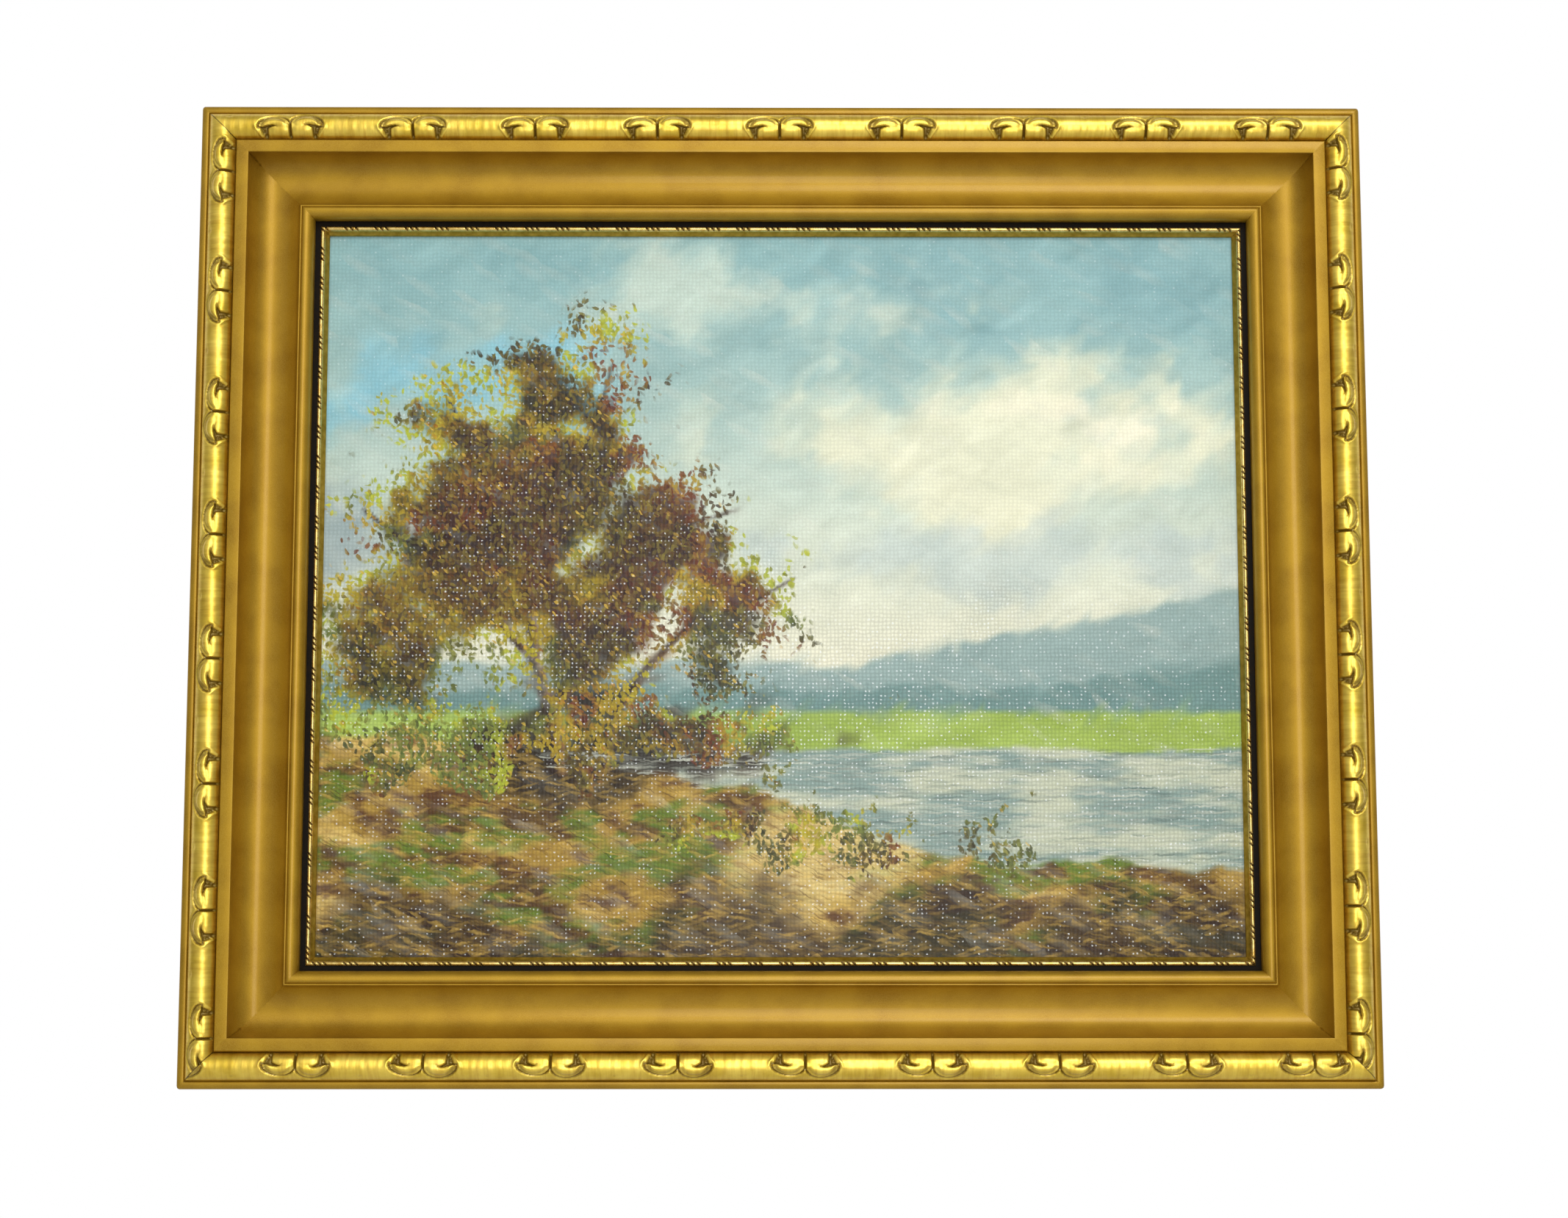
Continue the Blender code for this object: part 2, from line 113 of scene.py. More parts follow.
def rail_profile():
    """The rail's closed section as (across from the outer edge, up from the back, zone after it)."""
    half_width = HALF_ROUND_WIDTH / 2
    radius = (half_width ** 2 + HALF_ROUND_RISE ** 2) / (2 * HALF_ROUND_RISE)
    foot_angle = math.degrees(math.acos(half_width / radius))
    rim = [(0, 0), (0, 0.5 * RIM_HEIGHT)]
    rim += section_arc(RIM_ROUND_W, RIM_HEIGHT - RIM_ROUND_H, RIM_ROUND_W, RIM_ROUND_H, 180, 90, 6)
    rim += [(QUIRK_W - 0.15 * MM, RIM_HEIGHT - 0.15 * MM), (QUIRK_W, QUIRK_HEIGHT)]
    round_part = section_arc(RIM_WIDTH + half_width, RAIL_DEPTH - RIDGE_ROOM - radius, radius, radius,
                             180 - foot_angle, foot_angle, HALF_ROUND_STEPS)
    flat = [(GROOVE_W, GROOVE_HEIGHT), (FLAT_START, FLAT_HEIGHT - ARRIS)]
    flat += section_arc(FLAT_START + ARRIS, FLAT_HEIGHT - ARRIS, ARRIS, ARRIS, 150, 90, 2)
    flat += [(0.5 * (FLAT_START + COVE_START), FLAT_HEIGHT + 0.04 * MM)]
    flat += section_arc(COVE_START - ARRIS, FLAT_HEIGHT - 0.1 * MM, ARRIS, 0.25 * MM, 90, 0, 3)
    cove = section_arc(COVE_LOWEST_W, FLAT_HEIGHT - 2 * ARRIS, COVE_LOWEST_W - COVE_START,
                       FLAT_HEIGHT - 2 * ARRIS - COVE_FLOOR, 180, 270, 9)
    reach = COVE_END - COVE_LOWEST_W
    rise = COVE_END_HEIGHT - COVE_FLOOR
    rise_radius = (reach ** 2 + rise ** 2) / (2 * rise)
    sweep = math.degrees(math.asin(reach / rise_radius))
    cove += section_arc(COVE_LOWEST_W, COVE_FLOOR + rise_radius, rise_radius, rise_radius,
                        270, 270 + sweep, 6)[1:]
    reed = section_arc(COVE_END + REED_RADIUS, COVE_END_HEIGHT + 0.1 * MM, REED_RADIUS, REED_RADIUS,
                       160, 30, 3)
    bead = section_arc(BEAD_CREST_W, BEAD_FOOT, BEAD_CREST_W - BEAD_START, BEAD_TOP - BEAD_FOOT, 180, 90, 3)
    bead += section_arc(BEAD_CREST_W, BEAD_INNER_EDGE, MOULDING_FACE - BEAD_CREST_W,
                        BEAD_TOP - BEAD_INNER_EDGE, 90, 0, 6)[1:]
    inside = [(MOULDING_FACE, LIP_UNDER + 0.6 * MM), (MOULDING_FACE - 0.4 * MM, LIP_UNDER),
              (REBATE_W, LIP_UNDER), (REBATE_W, 0.4 * LIP_UNDER), (REBATE_W, 0)]
    marked = [(w, h, ZONE_GOLD) for w, h in rim]
    marked += [(w, h, ZONE_BURNISHED) for w, h in round_part[:-1]]
    marked += [(w, h, ZONE_GOLD) for w, h in round_part[-1:] + flat + cove + reed + bead]
    marked += [(w, h, ZONE_WOOD) for w, h in inside]
    return marked


# The ornament is worked out in millimetres: the left lobe is the right one mirrored, a little lower.
LEFT_LOBE_HEIGHT = 0.9
MOTIF_HALF = 11.6
MOTIF_STEP = 0.28
PLAIN_STATIONS = 11
PLAIN_FROM = 11.0
RIPPLE_HEIGHT = 0.045
RIPPLE_FADE = 2.0
FOOT_FADE = 0.3
CUT_ROUNDNESS = 1.4
# Strokes pressed into the right lobe of a pair: (along from the pair's middle, across from the picture side,
# radius, depth). A negative depth stands up.
LOBE_STROKES = (
    # Cleft between the lobes
    ((0.0, 0.0, 0.60, 0.80), (0.0, 1.5, 0.60, 1.00), (0.0, 3.6, 0.52, 0.95), (0.0, 5.0, 0.45, 0.80)),
    # Outline round the lobe, a narrow cut with a broad roll towards the lobe
    ((0.0, 4.9, 0.42, 0.75), (0.7, 6.0, 0.40, 0.70), (1.6, 6.9, 0.40, 0.65), (2.9, 7.5, 0.40, 0.60),
     (4.4, 7.7, 0.40, 0.56), (6.0, 7.6, 0.40, 0.58), (7.4, 7.2, 0.42, 0.65), (8.8, 6.4, 0.44, 0.75),
     (9.8, 5.4, 0.45, 0.80), (10.3, 4.2, 0.42, 0.75), (10.2, 3.2, 0.40, 0.70)),
    ((1.0, 4.9, 0.80, 0.25), (2.2, 6.0, 0.80, 0.28), (3.6, 6.7, 0.80, 0.25), (6.0, 6.9, 0.80, 0.25),
     (7.4, 6.5, 0.85, 0.35), (8.7, 5.6, 1.00, 0.50), (9.3, 4.6, 0.95, 0.50), (9.5, 3.8, 0.60, 0.30)),
    # Comma-shaped hollow under the lobe and its stem down to the picture side
    ((4.0, 3.6, 0.15, 0.15), (4.7, 4.0, 0.28, 0.45), (5.6, 4.0, 0.45, 0.85), (6.5, 3.7, 0.62, 1.15),
     (7.5, 3.2, 0.80, 1.25), (8.6, 3.1, 0.62, 1.10), (9.6, 3.2, 0.45, 0.85), (10.2, 3.5, 0.30, 0.60)),
    ((7.6, 3.2, 0.90, 1.20), (7.6, 1.6, 0.85, 1.05), (7.7, 0.0, 0.80, 0.90)),
    ((8.8, 2.6, 0.70, 0.95), (8.3, 1.2, 0.60, 0.90)),
    # Domes of the lobe, of the petal in it and of the plain part's end
    ((2.6, 5.0, 1.7, -0.24), (4.6, 5.5, 1.5, -0.26), (6.8, 5.3, 1.3, -0.26), (8.2, 4.5, 0.9, -0.22)),
    ((2.3, 1.9, 1.8, -0.26), (4.6, 1.8, 1.8, -0.28)),
    ((9.0, 0.4, 0.45, -0.22), (10.0, 1.7, 0.5, -0.25), (11.0, 3.0, 0.5, -0.22), (11.3, 4.4, 0.4, -0.1)),
)
# A shallow nick midway between two pairs
NICK = ((19.1, 7.0, 0.6, 0.2), (19.9, 7.0, 0.6, 0.2))


def stroke_field(along, across, stroke):
    """Depth of one pressed stroke at many places, in millimetres."""
    found = np.zeros_like(along)
    for (s0, v0, r0, d0), (s1, v1, r1, d1) in zip(stroke, stroke[1:]):
        length2 = (s1 - s0) ** 2 + (v1 - v0) ** 2
        t = np.clip(((along - s0) * (s1 - s0) + (across - v0) * (v1 - v0)) / length2, 0, 1)
        away = np.hypot(along - s0 - t * (s1 - s0), across - v0 - t * (v1 - v0))
        share = np.clip(1 - (away / (r0 + (r1 - r0) * t)) ** 2, 0, 1) ** CUT_ROUNDNESS
        depth = share * (d0 + (d1 - d0) * t)
        found = np.where(np.abs(depth) > np.abs(found), depth, found)
    return found


def pressed_depth(along, across):
    """(depth, share of shadow) of the pressed ornament on the half-round, in millimetres."""
    place = np.abs(along)
    lobe_across = np.where(along < 0, across / LEFT_LOBE_HEIGHT, across)
    fields = [stroke_field(place, lobe_across, stroke) for stroke in LOBE_STROKES]
    fields.append(stroke_field(place, across, NICK))
    cut = np.max([np.maximum(f, 0) for f in fields], axis=0)
    raised = np.maximum(np.min([np.minimum(f, 0) for f in fields], axis=0), -RIDGE_ROOM / MM)
    plain = np.clip((place - PLAIN_FROM) / 1.5, 0, 1)
    turns = along * 2 * math.pi / (PAIR_PITCH / MM)
    wave = np.sin(15 * turns + 0.9 * np.sin(4 * turns + 0.5 * across)) + 0.5 * np.sin(25 * turns + 1.0)
    from_edge = np.minimum(across, HALF_ROUND_WIDTH / MM - across)
    ripple = RIPPLE_HEIGHT * plain * wave * np.clip(from_edge / RIPPLE_FADE, 0, 1)
    return cut + raised * np.clip(1 - cut / 0.5, 0, 1) + ripple, np.clip(cut / 0.8, 0, 1)


def tile_stations():
    """Places along one repeat of the moulding, close together where the scrolls are, in millimetres."""
    motif = np.arange(0, MOTIF_HALF, MOTIF_STEP)
    rest = np.linspace(MOTIF_HALF + 0.6, PAIR_PITCH / MM / 2, PLAIN_STATIONS)
    half = np.concatenate([motif, rest])
    return np.concatenate([-half[:0:-1], half])


def share_layer(mesh, name, shares):
    """Keeps one number for each point as an attribute that the finishes read."""
    layer = mesh.attributes.new(name, "FLOAT", "POINT")
    layer.data.foreach_set("value", np.ascontiguousarray(shares, np.float32))


def section_grid(profile, stations):
    """A section set at every station, as grids of along (in millimetres), across and up, and its zones."""
    grid_s, grid_w = np.meshgrid(stations, [point[0] for point in profile], indexing="ij")
    grid_h = np.tile([point[1] for point in profile], (len(stations), 1))
    return grid_s, grid_w, grid_h, [point[2] for point in profile]


def open_tube(name, grid_s, grid_w, grid_h, zones, recess):
    """Quads between sections, which keep each face's zone and each point's share of shadow."""
    count_s, count_p = grid_s.shape
    points = np.stack([grid_s * MM, grid_w, grid_h], -1).reshape(-1, 3)
    index = np.arange(count_s * count_p).reshape(count_s, count_p)
    after = np.roll(index, -1, axis=1)
    faces = np.stack([index[:-1], after[:-1], after[1:], index[1:]], -1).reshape(-1, 4)
    mesh = bpy.data.meshes.new(name)
    mesh.from_pydata(points.tolist(), [], faces.tolist())
    face_zone = np.tile(np.array(zones, np.int32), count_s - 1)
    mesh.attributes.new("zone", "INT", "FACE").data.foreach_set("value", face_zone)
    share_layer(mesh, "recess", recess.ravel())
    return mesh


def rail_tile():
    """One repeat of the moulding as an open tube of quads, its pair of scrolls in the middle."""
    grid_s, grid_w, grid_h, zones = section_grid(rail_profile(), tile_stations())
    first = zones.index(ZONE_BURNISHED)
    part = slice(first, first + HALF_ROUND_STEPS + 1)
    across = (RIM_WIDTH + HALF_ROUND_WIDTH - grid_w[:, part]) / MM
    depth, shadow = pressed_depth(grid_s[:, part], across)
    foot = np.clip(np.minimum(across, HALF_ROUND_WIDTH / MM - across) / FOOT_FADE, 0, 1)
    tangent_w = np.gradient(grid_w[:, part], axis=1)
    tangent_h = np.gradient(grid_h[:, part], axis=1)
    tangent = np.hypot(tangent_w, tangent_h)
    inward = depth * foot * MM
    grid_w[:, part] += inward * tangent_h / tangent
    grid_h[:, part] -= inward * tangent_w / tangent
    recess = np.zeros_like(grid_s)
    recess[:, part] = shadow
    return open_tube("rail_tile", grid_s, grid_w, grid_h, zones, recess)


def group_input(tree, name, kind, value=None):
    """Adds a named input to a node tree and returns its socket's identifier."""
    made = tree.interface.new_socket(name, in_out="INPUT", socket_type=kind)
    if value is not None:
        made.default_value = value
    return made.identifier


def copying_tree(name, pitch, more_inputs):
    """The first nodes of a tree that sets copies of its own mesh along X, in a straight line.
    Returns the tree, its entry, the node that copies and the identifiers of the tree's named inputs."""
    tree = bpy.data.node_groups.new(name, "GeometryNodeTree")
    tree.interface.new_socket("Geometry", in_out="OUTPUT", socket_type="NodeSocketGeometry")
    ids = {"Tile": group_input(tree, "Tile", "NodeSocketGeometry"),
           "Copies": group_input(tree, "Copies", "NodeSocketInt", 2),
           "Pitch": group_input(tree, "Pitch", "NodeSocketFloat", pitch),
           "Start": group_input(tree, "Start", "NodeSocketVector")}
    for more, kind in more_inputs:
        ids[more] = group_input(tree, more, kind)
    entry = tree.nodes.new("NodeGroupInput")
    step = tree.nodes.new("ShaderNodeCombineXYZ")
    line = tree.nodes.new("GeometryNodeMeshLine")
    copies = tree.nodes.new("GeometryNodeInstanceOnPoints")
    tree.links.new(entry.outputs["Pitch"], step.inputs["X"])
    tree.links.new(entry.outputs["Copies"], line.inputs["Count"])
    tree.links.new(entry.outputs["Start"], line.inputs["Start Location"])
    tree.links.new(step.outputs[0], line.inputs["Offset"])
    tree.links.new(line.outputs[0], copies.inputs["Points"])
    tree.links.new(entry.outputs["Tile"], copies.inputs["Instance"])
    return tree, entry, copies, ids


def repeat_tree(name, zone_count):
    """A tree that repeats a length of moulding without a seam and gives each zone of faces its finish."""
    finish_inputs = [(f"Finish {zone}", "NodeSocketMaterial") for zone in range(zone_count)]
    tree, entry, copies, ids = copying_tree(name, PAIR_PITCH, finish_inputs)
    nodes, links = tree.nodes, tree.links
    real = nodes.new("GeometryNodeRealizeInstances")
    weld = nodes.new("GeometryNodeMergeByDistance")
    weld.inputs["Distance"].default_value = SEAM_WELD
    links.new(copies.outputs[0], real.inputs[0])
    links.new(real.outputs[0], weld.inputs["Geometry"])
    shape = weld.outputs["Geometry"]
    marks = nodes.new("GeometryNodeInputNamedAttribute")
    marks.data_type = "INT"
    marks.inputs["Name"].default_value = "zone"
    for zone in range(zone_count):
        same = nodes.new("FunctionNodeCompare")
        same.data_type = "INT"
        same.operation = "EQUAL"
        # Sockets 2 and 3 are the two whole numbers that it compares.
        same.inputs[3].default_value = zone
        coat = nodes.new("GeometryNodeSetMaterial")
        links.new(marks.outputs["Attribute"], same.inputs[2])
        links.new(same.outputs[0], coat.inputs["Selection"])
        links.new(entry.outputs[f"Finish {zone}"], coat.inputs["Material"])
        links.new(shape, coat.inputs["Geometry"])
        shape = coat.outputs["Geometry"]
    leave = nodes.new("NodeGroupOutput")
    links.new(shape, leave.inputs[0])
    return tree, ids


def run_tree(mesh, tree, values):
    """Runs a node tree on a mesh, its inputs set by identifier, and returns the result as a plain mesh."""
    holder = bpy.data.objects.new("holder", mesh)
    bpy.context.scene.collection.objects.link(holder)
    work = holder.modifiers.new("work", "NODES")
    work.node_group = tree
    for identifier, value in values.items():
        work[identifier] = value
    depsgraph = bpy.context.evaluated_depsgraph_get()
    made = bpy.data.meshes.new_from_object(holder.evaluated_get(depsgraph))
    holder.modifiers.remove(work)
    bpy.data.objects.remove(holder)
    return made


def repeated_length(tile, tree, ids, length, first, pitch, finishes):
    """A tile repeated past both ends of a side, so that the mitres cut it."""
    before = math.ceil((first + pitch / 2) / pitch)
    start = first - before * pitch
    copies = math.ceil((length + pitch - start) / pitch)
    values = {ids["Copies"]: copies, ids["Pitch"]: pitch, ids["Start"]: (start, 0, 0)}
    for zone, finish in enumerate(finishes):
        values[ids[f"Finish {zone}"]] = finish
    return run_tree(tile, tree, values)


def cut_flat(bm, point, normal):
    """Removes what lies beyond a plane and closes the cut with one face."""
    parts = bm.verts[:] + bm.edges[:] + bm.faces[:]
    cut = bmesh.ops.bisect_plane(bm, geom=parts, dist=1e-7, plane_co=point, plane_no=normal,
                                 clear_outer=True)
    rim = [part for part in cut["geom_cut"] if isinstance(part, bmesh.types.BMEdge)]
    closed = bmesh.ops.contextual_create(bm, geom=rim)
    return closed["faces"]


def side_length(side):
    """Outer length of one side of the frame."""
    return FRAME_WIDTH if side in ("top", "bottom") else FRAME_HEIGHT


def side_matrix(side):
    """Takes (along, across from the frame's outer edge, up from the rails' back) to their place.
    Top and bottom lengths run from the left corner, left and right ones from the top corner."""
    along, across, corner = {
        "top": ((1, 0, 0), (0, 0, -1), (cad_low.x, RAIL_BACK_Y, cad_high.z)),
        "bottom": ((1, 0, 0), (0, 0, 1), (cad_low.x, RAIL_BACK_Y, cad_low.z)),
        "left": ((0, 0, -1), (1, 0, 0), (cad_low.x, RAIL_BACK_Y, cad_high.z)),
        "right": ((0, 0, -1), (-1, 0, 0), (cad_high.x, RAIL_BACK_Y, cad_high.z)),
    }[side]
    turn = Matrix((along, across, (0, -1, 0))).transposed().to_4x4()
    return Matrix.Translation(corner) @ turn


def read_points(mesh):
    """A mesh's points as rows of x, y and z."""
    points = np.empty(len(mesh.vertices) * 3, np.float32)
    mesh.vertices.foreach_get("co", points)
    return points.reshape(-1, 3)


def write_points(mesh, points):
    """Puts a mesh's points at new places."""
    mesh.vertices.foreach_set("co", np.ascontiguousarray(points, np.float32).ravel())
    mesh.update()


def keep_place(mesh, name, points):
    """Keeps places along and across a length as an attribute that the finishes read."""
    layer = mesh.attributes.new(name, "FLOAT_VECTOR", "POINT")
    layer.data.foreach_set("vector", np.ascontiguousarray(points, np.float32).ravel())


def rounded_corner(points, length, radius):
    """Eases the outer corner of both ends in plan, from a square to a quarter circle."""
    for flip in (False, True):
        along = length - points[:, 0] if flip else points[:, 0]
        inside = (along < radius) & (points[:, 1] < radius)
        p = radius - along[inside]
        q = radius - points[inside, 1]
        pull = np.maximum(p, q) / np.maximum(np.hypot(p, q), 1e-9)
        along = radius - p * pull
        points[inside, 0] = length - along if flip else along
        points[inside, 1] = radius - q * pull
    return points


def as_piece(name, mesh, smooth_angle=60):
    """Links a finished mesh as a piece, smooth up to an angle, its object at the origin."""
    shade = np.ones(len(mesh.polygons), bool)
    mesh.polygons.foreach_set("use_smooth", shade)
    mesh.set_sharp_from_angle(angle=math.radians(smooth_angle))
    mesh.name = name
    piece = bpy.data.objects.new(name, mesh)
    bpy.context.scene.collection.objects.link(piece)
    return piece


def mitred_length(mesh, side, gap, end_finish):
    """Cuts both ends of a long mesh at 45 degrees and closes them."""
    length = side_length(side)
    shift = gap / math.sqrt(2)
    bm = bmesh.new()
    bm.from_mesh(mesh)
    ends = cut_flat(bm, (shift, 0, 0), (-1, 1, 0))
    ends += cut_flat(bm, (length - shift, 0, 0), (1, 1, 0))
    for face in ends:
        face.material_index = end_finish
    bmesh.ops.recalc_face_normals(bm, faces=bm.faces)
    if bm.calc_volume(signed=True) < 0:
        bmesh.ops.reverse_faces(bm, faces=bm.faces)
    bm.to_mesh(mesh)
    bm.free()


def place_on_side(mesh, side, name):
    """Keeps the length's own places, then moves it onto its side. Top and right mirror it, so faces turn."""
    points = read_points(mesh)
    keep_place(mesh, name, points)
    to_mitre = np.minimum(points[:, 0], side_length(side) - points[:, 0]) - points[:, 1]
    share_layer(mesh, "to_mitre", to_mitre)
    matrix = side_matrix(side)
    mesh.transform(matrix)
    if matrix.determinant() < 0:
        mesh.flip_normals()


def colour(red, green, blue):
    """Linear colour from the 0 to 255 values that a screen shows."""
    shares = (np.array([red, green, blue]) / 255.0).tolist()
    return tuple(c / 12.92 if c <= 0.04045 else ((c + 0.055) / 1.055) ** 2.4 for c in shares) + (1.0,)


def new_finish(name):
    """An empty node material and its shader."""
    made = bpy.data.materials.new(name)
    made.use_nodes = True
    return made, made.node_tree, made.node_tree.nodes["Principled BSDF"]


def noise_at(tree, place, scale, detail=3.0, roughness=0.5, output="Fac"):
    """Noise at a place, as the output of its value or its colour."""
    noise = tree.nodes.new("ShaderNodeTexNoise")
    noise.inputs["Scale"].default_value = scale
    noise.inputs["Detail"].default_value = detail
    noise.inputs["Roughness"].default_value = roughness
    tree.links.new(place, noise.inputs["Vector"])
    return noise.outputs[output]


def ramp(tree, value, stops):
    """A colour ramp with (place, colour) stops."""
    made = tree.nodes.new("ShaderNodeValToRGB")
    spots = made.color_ramp.elements
    while len(spots) < len(stops):
        spots.new(0.5)
    for spot, (place, shade) in zip(spots, stops):
        spot.position = place
        spot.color = shade
    tree.links.new(value, made.inputs["Fac"])
    return made.outputs["Color"]


def scaled(tree, value, from_low, from_high, to_low, to_high):
    """A value mapped from one range to another and kept inside it."""
    made = tree.nodes.new("ShaderNodeMapRange")
    limits = {"From Min": from_low, "From Max": from_high, "To Min": to_low, "To Max": to_high}
    for name, number in limits.items():
        made.inputs[name].default_value = number
    tree.links.new(value, made.inputs["Value"])
    return made.outputs["Result"]


def feed(tree, value, socket):
    """Links an output to a socket, or sets a fixed value on it."""
    if isinstance(value, bpy.types.NodeSocket):
        tree.links.new(value, socket)
    else:
        socket.default_value = value


def mixed(tree, share, first, second, blend="MIX"):
    """Two colours mixed by a share, each an output or a fixed value."""
    made = tree.nodes.new("ShaderNodeMix")
    made.data_type = "RGBA"
    made.blend_type = blend
    # Socket 0 is the share, 6 and 7 are the two colours.
    feed(tree, share, made.inputs[0])
    feed(tree, first, made.inputs[6])
    feed(tree, second, made.inputs[7])
    return made.outputs[2]


def drawn_out(tree, place, scale):
    """A place scaled unevenly, so that a pattern on it is drawn out one way."""
    made = tree.nodes.new("ShaderNodeMapping")
    made.inputs["Scale"].default_value = scale
    tree.links.new(place, made.inputs["Vector"])
    return made.outputs[0]


def attribute(tree, name, output):
    """What a piece keeps at each point or face under a name."""
    made = tree.nodes.new("ShaderNodeAttribute")
    made.attribute_name = name
    return made.outputs[output]


def bumped(tree, shader, height, distance, strength=1.0, socket="Normal"):
    """Fine relief from a height value, distance in metres."""
    made = tree.nodes.new("ShaderNodeBump")
    made.inputs["Strength"].default_value = strength
    made.inputs["Distance"].default_value = distance
    tree.links.new(height, made.inputs["Height"])
    tree.links.new(made.outputs["Normal"], shader.inputs[socket])


def matte_gold():
    """Bronze paint over gesso: fine metallic grain, a little uneven, darker where it was brushed thin."""
    made, tree, shader = new_finish("matte_gold")
    place = attribute(tree, "rail_place", "Vector")
    patches = noise_at(tree, place, 90.0, 4.0)
    grain = noise_at(tree, place, 4200.0, 2.0)
    tone = ramp(tree, patches, ((0.30, colour(150, 112, 14)), (0.62, colour(172, 134, 26))))
    tone = mixed(tree, scaled(tree, grain, 0.35, 0.65, 0.0, 0.26), tone, colour(206, 172, 72))
    tree.links.new(tone, shader.inputs["Base Color"])
    tree.links.new(scaled(tree, patches, 0.3, 0.7, 0.50, 0.56), shader.inputs["Roughness"])
    shader.inputs["Metallic"].default_value = 0.75
    shader.inputs["Specular IOR Level"].default_value = 0.3
    shader.inputs["Coat Weight"].default_value = 0.3
    shader.inputs["Coat Roughness"].default_value = 0.22
    bumped(tree, shader, grain, 0.02 * MM, 0.5)
    return made


def burnished_gold():
    """Yellow gold rubbed bright on the half-round, with painted shade darkening the pressed hollows."""
    made, tree, shader = new_finish("burnished_gold")
    place = attribute(tree, "rail_place", "Vector")
    patches = noise_at(tree, place, 160.0, 3.0)
    lines = noise_at(tree, drawn_out(tree, place, (1.0, 0.1, 0.1)), 900.0, 3.0)
    recess = attribute(tree, "recess", "Fac")
    joint = scaled(tree, attribute(tree, "to_mitre", "Fac"), 0.08 * MM, 0.35 * MM, 0.75, 0.0)
    gold = ramp(tree, patches, ((0.32, colour(220, 186, 50)), (0.64, colour(244, 214, 88))))
    gold = mixed(tree, scaled(tree, lines, 0.42, 0.66, 0.0, 0.4), gold, colour(206, 180, 112), "MULTIPLY")
    # Painted shade: the gold is darkened in the pressed hollows by each point's share of shadow.
    shaded = mixed(tree, scaled(tree, recess, 0.1, 0.8, 0.0, 0.78), gold, colour(88, 62, 10))
    shaded = mixed(tree, joint, shaded, colour(70, 46, 10))
    tree.links.new(shaded, shader.inputs["Base Color"])
    tree.links.new(scaled(tree, recess, 0.1, 0.9, 0.42, 0.6), shader.inputs["Roughness"])
    shader.inputs["Metallic"].default_value = 0.9
    shader.inputs["Coat Weight"].default_value = 0.7
    shader.inputs["Coat Roughness"].default_value = 0.27
    bumped(tree, shader, lines, 0.09 * MM, 0.7)
    bumped(tree, shader, lines, 0.09 * MM, 0.8, "Coat Normal")
    return made


def bare_wood(name, place_name, pale, dark):
    """Planed softwood with grain lines along the length."""
    made, tree, shader = new_finish(name)
    place = drawn_out(tree, attribute(tree, place_name, "Vector"), (0.06, 1.0, 1.0))
    lines = noise_at(tree, place, 900.0, 3.0)
    broad = noise_at(tree, place, 160.0, 2.0)
    tone = ramp(tree, lines, ((0.35, dark), (0.6, pale)))
    tone = mixed(tree, scaled(tree, broad, 0.4, 0.6, 0.0, 0.4), tone, dark)
    tree.links.new(tone, shader.inputs["Base Color"])
    shader.inputs["Roughness"].default_value = 0.72
    bumped(tree, shader, lines, 0.08 * MM, 0.5)
    return made


rail_wood = bare_wood("rail_wood", "rail_place", colour(190, 152, 104), colour(150, 108, 64))
rail_finishes = (matte_gold(), burnished_gold(), rail_wood)
rail_repeat, rail_ids = repeat_tree("repeat_moulding", len(rail_finishes))
moulding_tile = rail_tile()
for side in SIDES:
    length = side_length(side)
    rail = repeated_length(moulding_tile, rail_repeat, rail_ids, length, FIRST_PAIR[side], PAIR_PITCH,
                           rail_finishes)
    mitred_length(rail, side, MITRE_GAP, ZONE_WOOD)
    write_points(rail, rounded_corner(read_points(rail), length, CORNER_ROUNDING))
    place_on_side(rail, side, "rail_place")
    piece = as_piece(f"gilt_rail_{side}", rail)
    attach(piece, "root")
    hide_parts(f"frame_rail_{side}")
bpy.data.meshes.remove(moulding_tile)


# Liner
# Four thin strips under the frame's lip: a brown-black painted band, a gilt lip stamped with bars and pairs
# of beads, and a dull gold bevel beside the picture. They are mitred and pinned into the rebate.
LINER_OUTER_W = 30.6 * MM
LINER_TOP = 17.7 * MM
LINER_UNDER = 15.7 * MM
LINER_LEG = 10.7 * MM
LINER_LEG_W = 34.0 * MM
BAND_END = 37.1 * MM
SLIP_WIDTH = 1.5 * MM
SLIP_RISE = 0.95 * MM
SIGHT_W = 39.8 * MM
BEVEL_FALL = 1.0 * MM
SLIP_PITCH = 9.63 * MM
# The notches are worked out in millimetres.
NOTCH_SPACING = 1.7
NOTCH_RADIUS = 0.42
NOTCH_DEPTH = 0.5
NOTCH_SLANT = 0.5
NOTCHES_HALF = 2.76
NOTCH_STEP = 0.12
FIRST_NOTCHES = {"top": 46.9 * MM, "bottom": 41.5 * MM, "left": 46.2 * MM, "right": 49.3 * MM}
SLANT_WAY = {"top": 1, "bottom": -1, "left": 1, "right": -1}
ZONE_BAND, ZONE_SLIP, ZONE_BEVEL, ZONE_BACKING = 0, 1, 2, 3


